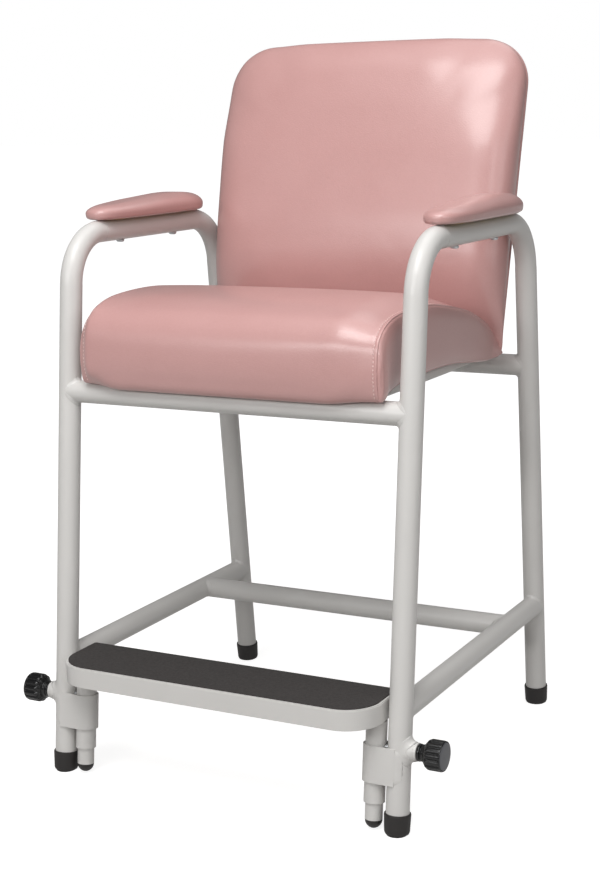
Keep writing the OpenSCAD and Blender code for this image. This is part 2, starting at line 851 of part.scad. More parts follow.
module footrest_tray() {
    color([0.84, 0.83, 0.82])
        difference() {
            union() {
                translate([0, 0, tray_low_z])
                    linear_extrude(height = tray_lip - tray_edge)
                        tray_plan(0);
                translate([0, 0, tray_top_z - tray_edge])
                    linear_extrude(height = tray_edge)
                        tray_plan(tray_edge / 2);
            }
            translate([0, 0, tray_low_z - cut_over])
                linear_extrude(height = tray_lip - tray_t + cut_over)
                    tray_plan(tray_t);
        }
}

module footrest_mat() {
    color([0.20, 0.19, 0.18])
        translate([0, 0, tray_top_z])
            linear_extrude(height = mat_t)
                tray_plan(mat_in);
}

module clamp_tip(side) {
    color([0.75, 0.75, 0.76])
        x_bar(side > 0 ? clamp_tip_x : -stud_in_x, side > 0 ? stud_in_x : -clamp_tip_x,
            screw_y, screw_z, clamp_tip_d / 2);
}

module clamp_stud(side) {
    in_x = stud_in_x + stud_fit;
    color([0.75, 0.75, 0.76])
        x_bar(side > 0 ? in_x : -stud_out_x, side > 0 ? stud_out_x : -in_x,
            screw_y, screw_z, stud_r);
}

module knob(side) {
    flute_r = knob_d * flute_share;
    rim = knob_cap / 4;
    color([0.06, 0.06, 0.06])
        translate([0, screw_y, screw_z])
            rotate([0, side * 90, 0])
                difference() {
                    rotate_extrude($fn = round_fn)
                        polygon([[0, stud_out_x + stud_fit], [stud_r + stud_fit, stud_out_x + stud_fit],
                            [stud_r + stud_fit, knob_neck_x],
                            [knob_neck_d / 2 - rim, knob_neck_x],
                            [knob_neck_d / 2, knob_neck_x + rim],
                            [knob_neck_d / 2, knob_x - rim],
                            [knob_neck_d / 2 + rim * 2, knob_x],
                            [knob_d / 2 - rim * 2, knob_x],
                            [knob_d / 2, knob_x + rim * 2],
                            [knob_d / 2, knob_end_x - rim * 2],
                            [knob_d / 2 - rim * 2, knob_end_x - rim / 2],
                            [0, knob_end_x]]);
                    for (i = [0 : knob_flutes - 1])
                        rotate([0, 0, i * 360 / knob_flutes])
                            translate([knob_d / 2 + flute_r / 4, 0, knob_neck_x + knob_neck_l / 2])
                                cylinder(h = knob_end_x - knob_cap - knob_neck_x - knob_neck_l / 2,
                                    r = flute_r, $fn = round_fn);
                }
}

side_frame(left_side);  // left_side_frame
side_frame(right_side);  // right_side_frame
front_cross_tube();
rear_cross_tube();
seat_rail(left_side);  // left_seat_rail
seat_rail(right_side);  // right_seat_rail
side_stretcher(left_side);  // left_side_stretcher
side_stretcher(right_side);  // right_side_stretcher
rear_stretcher();
back_upright(left_side);  // left_back_upright
back_upright(right_side);  // right_back_upright
upright_cap(left_side);  // left_upright_cap
upright_cap(right_side);  // right_upright_cap
guide_tube(left_side);  // left_guide_tube
guide_tube(right_side);  // right_guide_tube
guide_strap(left_side);  // left_guide_strap
guide_strap(right_side);  // right_guide_strap
clamp_bush(left_side);  // left_clamp_bush
clamp_bush(right_side);  // right_clamp_bush
front_foot_tip(left_side);  // front_left_foot_tip
front_foot_tip(right_side);  // front_right_foot_tip
rear_foot_tip(left_side);  // rear_left_foot_tip
rear_foot_tip(right_side);  // rear_right_foot_tip
seat_board();
seat_cushion();
seat_screws();
back_board();
back_cushion();
back_bolts();
arm_board(left_side);  // left_arm_board
arm_board(right_side);  // right_arm_board
arm_pad(left_side);  // left_arm_pad
arm_pad(right_side);  // right_arm_pad
arm_screws();
footrest_tray();
footrest_mat();
footrest_post(left_side);  // left_footrest_post
footrest_post(right_side);  // right_footrest_post
post_plug(left_side);  // left_post_plug
post_plug(right_side);  // right_post_plug
clamp_tip(left_side);  // left_clamp_tip
clamp_tip(right_side);  // right_clamp_tip
clamp_stud(left_side);  // left_clamp_stud
clamp_stud(right_side);  // right_clamp_stud
knob(left_side);  // left_knob
knob(right_side);  // right_knob
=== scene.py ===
"""Dresses the packed hip chair: vinyl cushions, welds, knobs, bushes, finishes and the studio."""

import json
import math

import bmesh
import bpy
import numpy as np
from bpy.props import FloatProperty, FloatVectorProperty, IntProperty, PointerProperty
from mathutils import Matrix, Vector
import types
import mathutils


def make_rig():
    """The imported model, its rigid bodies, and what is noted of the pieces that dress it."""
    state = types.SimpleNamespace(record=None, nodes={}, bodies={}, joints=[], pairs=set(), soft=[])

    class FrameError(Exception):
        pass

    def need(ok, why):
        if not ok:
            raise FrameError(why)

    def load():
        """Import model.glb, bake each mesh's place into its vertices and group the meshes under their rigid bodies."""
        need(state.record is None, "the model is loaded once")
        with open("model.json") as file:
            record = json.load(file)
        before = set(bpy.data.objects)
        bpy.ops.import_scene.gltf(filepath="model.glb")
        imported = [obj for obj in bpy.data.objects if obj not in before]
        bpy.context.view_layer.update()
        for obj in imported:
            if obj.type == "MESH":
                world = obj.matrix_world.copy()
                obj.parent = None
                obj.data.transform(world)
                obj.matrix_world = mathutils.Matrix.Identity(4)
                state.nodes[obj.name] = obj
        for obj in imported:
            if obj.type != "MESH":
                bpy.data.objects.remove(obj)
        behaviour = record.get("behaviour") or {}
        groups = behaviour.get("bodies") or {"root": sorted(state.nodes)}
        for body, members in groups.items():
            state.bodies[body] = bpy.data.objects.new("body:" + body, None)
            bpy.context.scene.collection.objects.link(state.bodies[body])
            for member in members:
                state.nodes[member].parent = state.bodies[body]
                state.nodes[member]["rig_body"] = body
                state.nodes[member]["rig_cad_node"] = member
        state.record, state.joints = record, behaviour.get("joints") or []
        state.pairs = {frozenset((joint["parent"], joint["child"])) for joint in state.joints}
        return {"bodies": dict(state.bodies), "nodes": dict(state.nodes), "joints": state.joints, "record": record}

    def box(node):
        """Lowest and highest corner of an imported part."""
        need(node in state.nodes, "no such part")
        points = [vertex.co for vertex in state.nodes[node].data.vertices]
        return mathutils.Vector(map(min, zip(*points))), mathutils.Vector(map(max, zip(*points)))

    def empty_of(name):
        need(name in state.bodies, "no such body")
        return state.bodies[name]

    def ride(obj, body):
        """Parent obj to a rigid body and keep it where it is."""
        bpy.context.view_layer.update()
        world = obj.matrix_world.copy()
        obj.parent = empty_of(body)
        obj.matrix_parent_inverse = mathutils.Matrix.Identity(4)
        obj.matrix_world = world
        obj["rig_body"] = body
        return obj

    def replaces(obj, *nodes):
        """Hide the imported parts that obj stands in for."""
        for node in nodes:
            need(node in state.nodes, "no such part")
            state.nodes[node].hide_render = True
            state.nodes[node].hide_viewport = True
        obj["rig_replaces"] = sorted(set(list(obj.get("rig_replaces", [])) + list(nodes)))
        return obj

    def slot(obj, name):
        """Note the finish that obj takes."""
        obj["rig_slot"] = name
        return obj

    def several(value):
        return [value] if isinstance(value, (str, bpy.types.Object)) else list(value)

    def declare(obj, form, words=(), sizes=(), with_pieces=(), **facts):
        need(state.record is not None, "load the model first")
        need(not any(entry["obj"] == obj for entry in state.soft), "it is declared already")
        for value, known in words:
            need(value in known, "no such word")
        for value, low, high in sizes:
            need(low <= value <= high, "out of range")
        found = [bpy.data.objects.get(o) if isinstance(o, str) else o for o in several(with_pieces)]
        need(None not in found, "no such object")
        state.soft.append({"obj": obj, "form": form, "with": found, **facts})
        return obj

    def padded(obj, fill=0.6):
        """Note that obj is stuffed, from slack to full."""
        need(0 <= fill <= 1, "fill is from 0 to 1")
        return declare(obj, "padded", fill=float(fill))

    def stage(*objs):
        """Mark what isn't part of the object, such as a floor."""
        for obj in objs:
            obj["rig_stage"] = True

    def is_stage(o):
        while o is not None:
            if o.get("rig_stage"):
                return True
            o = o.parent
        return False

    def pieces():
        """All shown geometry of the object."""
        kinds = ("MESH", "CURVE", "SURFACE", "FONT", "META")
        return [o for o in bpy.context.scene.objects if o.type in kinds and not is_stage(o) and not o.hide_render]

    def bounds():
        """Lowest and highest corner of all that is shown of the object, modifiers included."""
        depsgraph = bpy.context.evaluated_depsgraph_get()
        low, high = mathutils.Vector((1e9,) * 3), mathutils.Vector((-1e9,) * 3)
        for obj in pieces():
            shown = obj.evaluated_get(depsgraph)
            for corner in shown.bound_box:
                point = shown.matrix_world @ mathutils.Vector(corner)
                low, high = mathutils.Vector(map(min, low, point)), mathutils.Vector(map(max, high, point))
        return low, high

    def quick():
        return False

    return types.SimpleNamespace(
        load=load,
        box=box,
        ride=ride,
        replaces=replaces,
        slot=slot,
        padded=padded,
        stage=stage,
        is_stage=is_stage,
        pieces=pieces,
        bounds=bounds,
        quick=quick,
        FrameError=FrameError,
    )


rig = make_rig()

bl_info = {
    "name": "Hip Chair Looks",
    "version": (1, 0, 0),
    "blender": (4, 5, 0),
    "location": "3D View > Sidebar > Hip Chair",
    "description": "Cushions, welds, knobs, finishes and the studio for the hip chair",
    "category": "Object",
}

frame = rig.load()
CAD_BOX = [list(corner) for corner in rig.bounds()]
MM = 0.001
SMALL = 1e-9
SIDES = (("left", 1), ("right", -1))


# ---------------------------------------------------------------- properties


def length(name, description, default, low=0.0):
    """A length property in metres."""
    return FloatProperty(name=name, description=description, default=default, min=low, max=2.0,
                         unit="LENGTH", subtype="DISTANCE")


def angle(name, description, default):
    """An angle property in radians."""
    return FloatProperty(name=name, description=description, default=default, subtype="ANGLE")


def number(name, description, default):
    """A plain number property, not below zero."""
    return FloatProperty(name=name, description=description, default=default, min=0.0)


def colour(name, description, code):
    """A colour property, given as an sRGB hex code."""
    return FloatVectorProperty(name=name, description=description, subtype="COLOR", size=4,
                               min=0, max=1, default=linear(code))


def linear(code):
    """The linear RGBA of an sRGB hex code."""
    parts = [int(code[i:i + 2], 16) / 255 for i in (0, 2, 4)]
    return tuple(c / 12.92 if c <= 0.04045 else ((c + 0.055) / 1.055) ** 2.4
                 for c in parts) + (1.0,)


class HipChairSeatSizes(bpy.types.PropertyGroup):
    """Sizes of the seat cushion"""
    half_width: length("Half width", "From the middle to the right seam", 0.229)
    half_left: length("Half width, left", "From the middle to the left seam", 0.2235)
    side_bulge: length("Side bulge", "How far a side panel swells out", 0.005)
    fall_left: length("Fall, left", "Run over which the crown falls to the left seam", 0.016)
    fall_right: length("Fall, right", "Run over which the crown falls to the right seam", 0.062)
    lip_left: length("Lip, left", "Run over which the front lip rises to the left seam", 0.060)
    lip_right: length("Lip, right", "Run over which the front lip rises to the right seam", 0.080)
    groove: length("Groove", "Depth of the sewn seams", 0.0016)
    swell: length("Swell", "The farthest that the foam pushes the cover", 0.006)
    base_half: length("Base cloth", "From the middle to a side of the base cloth", 0.2155)
    base_long: length("Base cloth length", "Half the base cloth's length", 0.186)
    base_mid: length("Base cloth middle", "Middle of the base cloth along Y", -0.014, low=-1.0)
    base_z: length("Base cloth height", "Height of the base cloth's underside", 0.56465)
    base_tall: length("Base cloth edge", "Height of its turned-up edge", 0.0135)
    stitch_in: length("Stitch inset", "From the seam to the row of stitches", 0.0065)
    stitch_pitch: length("Stitch pitch", "From one stitch to the next", 0.0052)
    stitch_long: length("Stitch length", "Length of one stitch", 0.0036)
    stitch_r: length("Thread radius", "Radius of the thread", 0.0008)


class HipChairBackSizes(bpy.types.PropertyGroup):
    """Sizes of the back cushion"""
    rake: angle("Rake", "Lean of the back", math.radians(12.7))
    rear_y: length("Rear edge", "Rear face of the back at its bottom, along Y", 0.193)
    bottom_z: length("Bottom", "Height of the bottom edge", 0.568)
    tall: length("Length", "Length up the rake", 0.466)
    half_low: length("Half width, low", "From the middle to the edge at the bottom", 0.2380)
    half_top: length("Half width, top", "From the middle to the edge at the top", 0.2458)
    corner_top: length("Top corner", "Radius of the top corners", 0.066)
    corner_low: length("Bottom corner", "Radius of the bottom corners", 0.009)
    thick: length("Thickness", "Thickness where the cushion is fullest", 0.070)
    band: length("Band", "Depth of the rear band behind the seam", 0.010)
    roll: length("Roll", "Width over which the front rolls down to the seam", 0.054)
    corner_roll: number("Corner roll", "Extra share of the roll at a top corner", 0.5)
    corner_lean: length("Corner lean", "How much farther a top corner's roll leans in", 0.019)
    bulge: length("Bulge", "How far the sides swell out past the seam", 0.004)
    arch: length("Arch", "How far the middle of the top stands over its ends", 0.002)
    groove: length("Groove", "Depth of the sewn seams", 0.0012)
    swell: length("Swell", "The farthest that the foam pushes the cover", 0.006)


class HipChairArmSizes(bpy.types.PropertyGroup):
    """Sizes of the arm pads"""
    front: length("Front", "How far the cover stands past the front of the plain pad", 0.006)
    rear: length("Rear", "How far the cover stands past the rear of the plain pad", 0.010)
    edge: length("Edge", "Height of the widest line above the underside", 0.006)
    tuck: length("Tuck", "How far the cover turns in underneath", 0.009)
    bulge: length("Bulge", "How far the sides swell out past the widest line", 0.0010)
    gather: length("Gather", "Depth of the gathers underneath", 0.0006)
    front_drop: number("Front drop", "Share of height lost at the front", 0.32)
    rear_drop: number("Rear drop", "Share of height lost at the rear", 0.16)
    swell: length("Swell", "The farthest that the foam pushes the cover", 0.0025)


class HipChairMetalSizes(bpy.types.PropertyGroup):
    """Sizes of welds, bushes and knobs"""
    tube_r: length("Tube radius", "Outside radius of the main tubes", 0.015875)
    half: length("Half width", "From the middle to the axis of a leg", 0.2638)
    front_foot: length("Front foot", "From the origin forward to a front leg's axis", 0.2552)
    rear_foot: length("Rear foot", "From the origin back to a rear leg's axis", 0.2868)
    front_lean: angle("Front lean", "Lean of the front legs", math.radians(6.05))
    rear_lean: angle("Rear lean", "Lean of the rear legs", math.radians(5.23))
    cross_z: length("Cross tube height", "Height of the cross tubes' axes", 0.5487)
    stretcher_z: length("Stretcher height", "Height of the stretchers' axes", 0.165)
    rear_stretcher_y: length("Rear stretcher", "From the origin back to its axis", 0.153)
    rail_x: length("Rail", "From the middle to the axis of a seat rail", 0.13702)
    upright_r: length("Upright radius", "Outside radius of the back's uprights", 0.0111)
    strap_low: length("Strap, low", "Height of a strap's lower edge", 0.067)
    strap_high: length("Strap, high", "Height of a strap's upper edge", 0.1165)
    strap_out: length("Strap, out", "From a leg's axis to the face of a strap", 0.0173)
    screw_y: length("Screw depth", "Clamp screw's axis along Y", -0.24317, low=-1.0)
    screw_z: length("Screw height", "Clamp screw's axis above the floor", 0.1135)
    weld: length("Weld leg", "Width of a weld on each tube", 0.0042)
    seat_weld: length("Seat weld leg", "Width of a weld under the seat", 0.00336)
    bush_weld: length("Bush weld", "Width of the weld round a bush", 0.0085)
    bush_r: length("Bush radius", "Outside radius of a bush", 0.0131)
    flutes: IntProperty(name="Flutes", description="Flutes round a knob", default=14, min=3)
    flute_depth: length("Flute depth", "Depth of a flute", 0.0023)


class HipChairColours(bpy.types.PropertyGroup):
    """Colours of the finishes"""
    vinyl: colour("Vinyl", "Upholstery vinyl", "C69A97")
    vinyl_dark: colour("Vinyl, deep", "The vinyl's darker tone", "B98B87")
    thread: colour("Thread", "Sewing thread", "E0C2BE")
    cloth: colour("Base cloth", "Spun-bonded cloth under the seat", "DAD7D4")
    coat: colour("Powder coat", "Paint of the tubes", "D5D3D0")
    mat: colour("Mat", "Anti-slip mat of the footrest", "302D2C")
    tip: colour("Tip rubber", "Rubber foot tips", "1B1817")
    knob: colour("Knob", "Moulded plastic of the knobs", "0C0C0D")
    knob_cap: colour("Knob cap", "Moulded end caps of the knobs", "55565A")
    zinc: colour("Zinc", "Zinc plating of screws and bolts", "C4C6C8")
    ply: colour("Plywood", "Plywood of the boards", "C9A878")


class HipChairStage(bpy.types.PropertyGroup):
    """Camera and light"""
    azimuth: angle("Azimuth", "Camera's way round the chair", 0.483)
    elevation: angle("Elevation", "Camera's angle above the horizon", 0.215)
    roll: angle("Roll", "Camera's tilt", -0.022)
    place: FloatVectorProperty(name="Place", description="Camera's place", size=3, unit="LENGTH",
                               default=(1.0949, -2.0818, 0.9310))
    lens: number("Lens", "Focal length in millimetres", 66.596)
    key: number("Key light", "Power of the lamp over the front, watts", 53.0)
    front: number("Front light", "Power of the low front lamp, watts", 22.0)
    top: number("Top light", "Power of the overhead lamp, watts", 14.0)
    side: number("Side light", "Power of each lamp on the right, watts", 9.5)
    rear: number("Rear light", "Power of the lamp behind, watts", 7.0)
    sky: number("Sky", "Strength of the soft light all round", 0.17)


# --------------------------------------------------------------------- lines

# Points round an outline before it is given its final count, and points in a span of a spline
FINE, SPAN = 2880, 24


def unit(vectors):
    """Vectors at a length of one."""
    return vectors / np.maximum(np.linalg.norm(vectors, axis=-1, keepdims=True), SMALL)


def square_to(vectors, way):
    """The part of each vector that is square to a unit direction, or to one direction each."""
    return vectors - np.sum(vectors * way, -1, keepdims=True) * way


def smooth(value, low, high):
    """0 below low, 1 above high, and 3t^2 - 2t^3 between."""
    t = np.clip((value - low) / (high - low), 0, 1)
    return t * t * (3 - 2 * t)


def dent(distance, wide):
    """Shape of a sewn groove: exp(-(distance / wide)^2)."""
    return np.exp(-(distance / wide) ** 2)


def looped(curve):
    """A closed curve with its first point again at its end."""
    return np.concatenate([curve, curve[:1]])


def run_along(line):
    """Length run along a line at each of its points."""
    return np.concatenate([[0], np.cumsum(np.linalg.norm(np.diff(line, axis=0), axis=1))])


def read_at(values, run, at):
    """Columns of values known at the places in run, read between them at other places."""
    return np.stack([np.interp(at, run, column) for column in values.T], -1)


def spaced(line, count):
    """A line given again at count equal steps of its length, without its last point."""
    run = run_along(line)
    return read_at(line, run, np.linspace(0, run[-1], count, endpoint=False))


def even(curve, count):
    """A closed curve given again at count equal steps of its length."""
    return spaced(looped(curve), count)


def spans(curve, marks, count):
    """A closed curve given again with count equal steps from each marked point to the next."""
    line, ends = looped(curve), [*marks, len(curve)]
    return np.vstack([spaced(line[a:b + 1], count) for a, b in zip(ends, ends[1:])])


def closed_curve(points, count):
    """A closed curve through points, a Catmull-Rom spline: each span is a cubic whose end slopes
    are half the step between its neighbours. It is given back at equal steps of its length."""
    p = np.asarray(points, float)
    t = np.linspace(0, 1, SPAN, endpoint=False)[:, None, None]
    a, b, c, d = (np.roll(p, s, 0)[None] for s in (1, 0, -1, -2))
    fine = 0.5 * (2 * b + (c - a) * t + (2 * a - 5 * b + 4 * c - d) * t ** 2
                  + (3 * b - a - 3 * c + d) * t ** 3)
    return even(fine.transpose(1, 0, 2).reshape(-1, p.shape[1]), count)


def superellipse(half_x, half_y, power_x, power_y, turns):
    """Points of |x / a|^p + |y / b|^q = 1, at the turns given."""
    c, s = np.cos(turns), np.sin(turns)
    return np.stack([half_x * np.sign(c) * np.abs(c) ** (2 / power_x),
                     half_y * np.sign(s) * np.abs(s) ** (2 / power_y)], -1)


def outward(curve):
    """Unit normals of a closed flat curve: the step between its neighbours, turned a quarter."""
    step = np.roll(curve, -1, 0) - np.roll(curve, 1, 0)
    x, y = curve.T
    area = np.sum(x * np.roll(y, -1) - y * np.roll(x, -1))
    return unit(np.stack([step[:, 1], -step[:, 0]], -1)) * (1 if area > 0 else -1)


def rounded(points, reach, steps=5):
    """An open line with each inner corner rounded: the curve (1-t)^2 a + 2t(1-t) c + t^2 b between
    the points a and b that lie reach, or just under half a side, from the corner c."""
    p = np.asarray(points, float) * MM
    out = [p[0]]
    for before, corner, after in zip(p[:-2], p[1:-1], p[2:]):
        a, b = (corner + side * min(reach * MM / np.linalg.norm(side), 0.49)
                for side in (before - corner, after - corner))
        t = np.linspace(0, 1, steps)[:, None]
        out += list((1 - t) ** 2 * a + 2 * t * (1 - t) * corner + t ** 2 * b)
    return np.array(out + [p[-1]])


# ------------------------------------------------------------------ surfaces

# Corners closer than this are one, and the least run from a roll to the middle
MERGE, THIN = 2e-6, 1e-6
# Power by which the rings of a padded front draw together towards the seam
RING_EASE = 1.4
# Vinyl over foam in the cloth simulation, its number of frames, and how often its moves are evened
VINYL = {"quality": 4, "mass": 0.3, "tension_stiffness": 12, "compression_stiffness": 12,
         "shear_stiffness": 5, "bending_stiffness": 0.8, "use_pressure": True}
FRAMES, EVENINGS = 20, 60


def quads(rows, cols, wrap_cols=False):
    """Faces of a grid of points: each joins a point, its neighbours and the one across."""
    i = np.arange(rows - 1)[:, None]
    j = np.arange(cols if wrap_cols else cols - 1)[None, :]
    k = (j + 1) % cols
    return np.stack([i * cols + j, i * cols + k, (i + 1) * cols + k, (i + 1) * cols + j],
                    -1).reshape(-1, 4)


def grid(points, wrap_cols=False):
    """One part of a mesh from points in rows and columns: (corners, faces)."""
    rows, cols = points.shape[:2]
    return points.reshape(-1, 3), quads(rows, cols, wrap_cols)


def raised(plan, z):
    """Flat points given a height, one for all of them or one each."""
    return np.concatenate([plan, np.broadcast_to(z, plan.shape[:-1])[..., None]], -1)


def mesh_of(name, parts):
    """One closed mesh object of several parts: shared edges merged and faces turned outwards."""
    corners, faces, base = [], [], 0
    for c, f in parts:
        corners.append(c)
        faces.append(f + base)
        base += len(c)
    corners, faces = np.concatenate(corners), np.concatenate(faces)
    mesh = bpy.data.meshes.new(name)
    mesh.vertices.add(len(corners))
    mesh.vertices.foreach_set("co", corners.astype(np.float32).ravel())
    mesh.loops.add(faces.size)
    mesh.loops.foreach_set("vertex_index", faces.astype(np.int32).ravel())
    mesh.polygons.add(len(faces))
    mesh.polygons.foreach_set("loop_start", np.arange(0, faces.size, 4, dtype=np.int32))
    mesh.update(calc_edges=True)
    mesh.validate()
    shape = bmesh.new()
    shape.from_mesh(mesh)
    bmesh.ops.remove_doubles(shape, verts=shape.verts, dist=MERGE)
    bmesh.ops.recalc_face_normals(shape, faces=shape.faces)
    shape.to_mesh(mesh)
    shape.free()
    mesh.polygons.foreach_set("use_smooth", np.ones(len(mesh.polygons), bool))
    mesh.update()
    piece = bpy.data.objects.new(name, mesh)
    bpy.context.scene.collection.objects.link(piece)
    return piece


def points_of(mesh):
    """All corners of a mesh as an array."""
    flat = np.zeros(len(mesh.vertices) * 3, np.float32)
    mesh.vertices.foreach_get("co", flat)
    return flat.reshape(-1, 3).astype(float)


def met(values, way):
    """Values known at a closed curve's points, read at shares of the way round it."""
    ring = looped(values)
    share = np.linspace(0, 1, len(ring))
    return np.interp(way, share, ring) if ring.ndim == 1 else read_at(ring, share, way)


def filled(outline, count):
    """A grid of points filling a closed flat outline. A grid point (a, b) on the square from -1 to
    1 lies on the square ring of size r = max(|a|, |b|); it goes to centre + r * (outline - centre),
    where the outline is met at the same share of the way round. Gives points, r and share."""
    a, b = np.meshgrid(np.linspace(-1, 1, count + 1), np.linspace(-1, 1, count + 1))
    r = np.maximum(np.abs(a), np.abs(b))
    safe = np.where(r == 0, 1, r)
    u, v = a / safe, b / safe
    way = np.select([v <= SMALL - 1, u >= 1 - SMALL, v >= 1 - SMALL],
                    [(u + 1) / 2, 1 + (v + 1) / 2, 2 + (1 - u) / 2], 3 + (1 - v) / 2) / 4 % 1
    centre = outline.mean(0)
    return centre + r[..., None] * (met(outline, way) - centre), r, way


def section(width, power_in, power_out, bulge, count=400):
    """Section of a padded edge, from the seam in over the top, as distance in and share of the
    height: the curve |1 - s / width|^a + |h|^b = 1, pushed out by bulge * 4h(1 - h)."""
    t = np.linspace(0, math.pi / 2, count)
    height = np.sin(t) ** (2 / power_out)
    inward = width * (1 - np.cos(t) ** (2 / power_in))
    return inward - bulge * 4 * height * (1 - height), height


def padded_front(edge, count, thick, low, width, powers, bulge, wider, lean_in):
    """Front of a padded panel with a closed flat outline: points across and up, how far out each
    stands, and its distance from the seam. Rings run from the seam to the middle, closest at the
    seam. Thickness is thick(up), and low(up) at the seam. The roll is width wide, times wider at
    each point of the outline, and it leans farther in by lean_in, times the share of the height."""
    inward, height = section(width, *powers, bulge)
    tall = thick(edge[:, 1]).max()
    run = run_along(np.stack([inward, height * tall], -1))
    flat, r, way = filled(edge, count)
    centre = edge.mean(0)
    out_to = met(edge, way) - centre
    far = np.linalg.norm(out_to, axis=-1)
    ray = out_to / far[..., None]
    lean = np.clip(np.sum(ray * met(outward(edge), way), -1), 0.5, 1)
    at = (run[-1] + far * lean - width) * (1 - r) ** RING_EASE
    rolled = at < run[-1]
    s = np.where(rolled, np.interp(at, run, inward), width + at - run[-1])
    h = np.where(rolled, np.interp(at, run, height), 1.0)
    grown = width * met(wider, way)
    middle = np.maximum(far * lean, grown + THIN)
    s = np.where(s < width, s * grown / width,
                 grown + (s - width) * (middle - grown) / np.maximum(middle - width, THIN))
    s = s + met(lean_in, way) * h * (1 - s / middle)
    flat = centre + ray * (far - s / lean)[..., None]
    flat[r == 0] = centre
    base = low(flat[..., 1])
    return flat, base + (thick(flat[..., 1]) - base) * h, at


def puffed(piece, held, cap, pressure):
    """Foam pushing a sewn cover out, by a cloth simulation with air pressure and no gravity. The
    held corners stay. The cover is stretched tight, so each move is evened with its neighbours' and
    no crease is left, and none is longer than cap: a move d becomes d * cap / (cap + |d|)."""
    mesh, scene = piece.data, bpy.context.scene
    rest = points_of(mesh)
    group = piece.vertex_groups.new(name="sewn")
    group.add(np.nonzero(held)[0].tolist(), 1.0, "REPLACE")
    cloth = piece.modifiers.new("foam", "CLOTH")
    for name, value in VINYL.items():
        setattr(cloth.settings, name, value)
    cloth.settings.uniform_pressure_force = pressure
    cloth.settings.effector_weights.gravity = 0
    cloth.settings.vertex_group_mass = group.name
    cloth.collision_settings.use_collision = False
    cloth.point_cache.frame_start, cloth.point_cache.frame_end = 1, FRAMES
    for moment in range(1, FRAMES + 1):
        scene.frame_set(moment)
    made = piece.evaluated_get(bpy.context.evaluated_depsgraph_get())
    moved = points_of(made.data) - rest
    piece.modifiers.remove(cloth)
    piece.vertex_groups.remove(group)
    scene.frame_set(1)
    ends = np.empty(len(mesh.edges) * 2, dtype=np.int32)
    mesh.edges.foreach_get("vertices", ends)
    one, two = ends.reshape(-1, 2).T
    count = len(rest)
    neighbours = np.bincount(np.r_[one, two], minlength=count)[:, None]
    loose = ~np.asarray(held)[:, None]
    for _ in range(EVENINGS):
        near = np.stack([np.bincount(one, moved[two, k], count)
                         + np.bincount(two, moved[one, k], count) for k in range(3)], -1)
        moved = np.where(loose, (moved + near / neighbours) / 2, 0)
    far = np.linalg.norm(moved, axis=1)[:, None]
    mesh.vertices.foreach_set("co", (rest + moved * cap / (cap + far)).astype(np.float32).ravel())
    mesh.update()


def wear(piece, material, slot_name, body):
    """Gives a new piece its finish, the record's slot for it if there is one, and its body."""
    piece.data.materials.append(material)
    if slot_name:
        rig.slot(piece, slot_name)
    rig.ride(piece, body)
    return piece


def upholstered(name, parts, held, cap, pressure):
    """A cushion's cover: its mesh, swelled by the foam except where held(corners) is true,
    subdivided once, and dressed in vinyl."""
    piece = mesh_of(name, parts)
    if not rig.quick():
        puffed(piece, held(points_of(piece.data)), cap, pressure)
    finer = piece.modifiers.new("finer", "SUBSURF")
    finer.levels = finer.render_levels = 1
    return wear(piece, upholstery_vinyl(), "vinyl", "frame")


# ----------------------------------------------------------------- materials


def plug(tree, node, **values):
    """Sets sockets of a node by name, with each space written as one low line, or by number as i0,
    i1 and so on. An output is linked to its socket and anything else is set as its value."""
    for name, value in values.items():
        key = name.replace("_", " ")
        socket = node.inputs[int(key[1:]) if key[0] == "i" and key[1:].isdigit() else key]
        if isinstance(value, bpy.types.NodeSocket):
            tree.links.new(value, socket)
        else:
            socket.default_value = value


def add(tree, kind, settings=None, **values):
    """Adds one node, with settings of its own and values for its sockets."""
    made = tree.nodes.new(kind)
    for name, value in (settings or {}).items():
        setattr(made, name, value)
    plug(tree, made, **values)
    return made


def noise(tree, place, size, detail):
    """Soft noise, size metres from one patch to the next."""
    return add(tree, "ShaderNodeTexNoise", Vector=place, Scale=1 / size,
               Detail=detail).outputs["Fac"]


def cells(tree, place, size, settings=None, **values):
    """Distance to the nearest of scattered points, about size metres apart."""
    return add(tree, "ShaderNodeTexVoronoi", settings, Vector=place, Scale=1 / size,
               **values).outputs["Distance"]


def spread(tree, value, low, high, **values):
    """A value from 0 to 1, or from the range given, stretched to go from low to high."""
    return add(tree, "ShaderNodeMapRange", Value=value, To_Min=low, To_Max=high,
               **values).outputs["Result"]


def math_of(tree, operation, *values):
    """Result of a Math node."""
    return add(tree, "ShaderNodeMath", {"operation": operation},
               **{f"i{k}": value for k, value in enumerate(values)}).outputs[0]


def tint(tree, share, one, two):
    """The first colour going over to the second by a share."""
    return add(tree, "ShaderNodeMix", {"data_type": "RGBA"}, Factor=share, i6=one,
               i7=two).outputs[2]


def bump(tree, height, strength, depth):
    """Normal of a bumped surface, depth metres deep."""
    return add(tree, "ShaderNodeBump", Strength=strength, Distance=depth,
               Height=height).outputs["Normal"]


def shaded(tone, times, more=0.0):
    """A colour with each channel multiplied and raised, up to full."""
    return tuple(min(1, c * times + more) for c in tone[:3]) + (1,)


def finish(name):
    """Turns a function that wires a shader into one that gives the material of that name, which is
    built once. The function is given the tree, the shader and the object coordinates."""
    def giving(wire):
        def material():
            made = bpy.data.materials.get(name)
            if made is None:
                made = bpy.data.materials.new(name)
                made.use_nodes = True
                tree = made.node_tree
                wire(tree, tree.nodes["Principled BSDF"],
                     tree.nodes.new("ShaderNodeTexCoord").outputs["Object"])
            return made
        material.__doc__ = wire.__doc__
        return material
    return giving


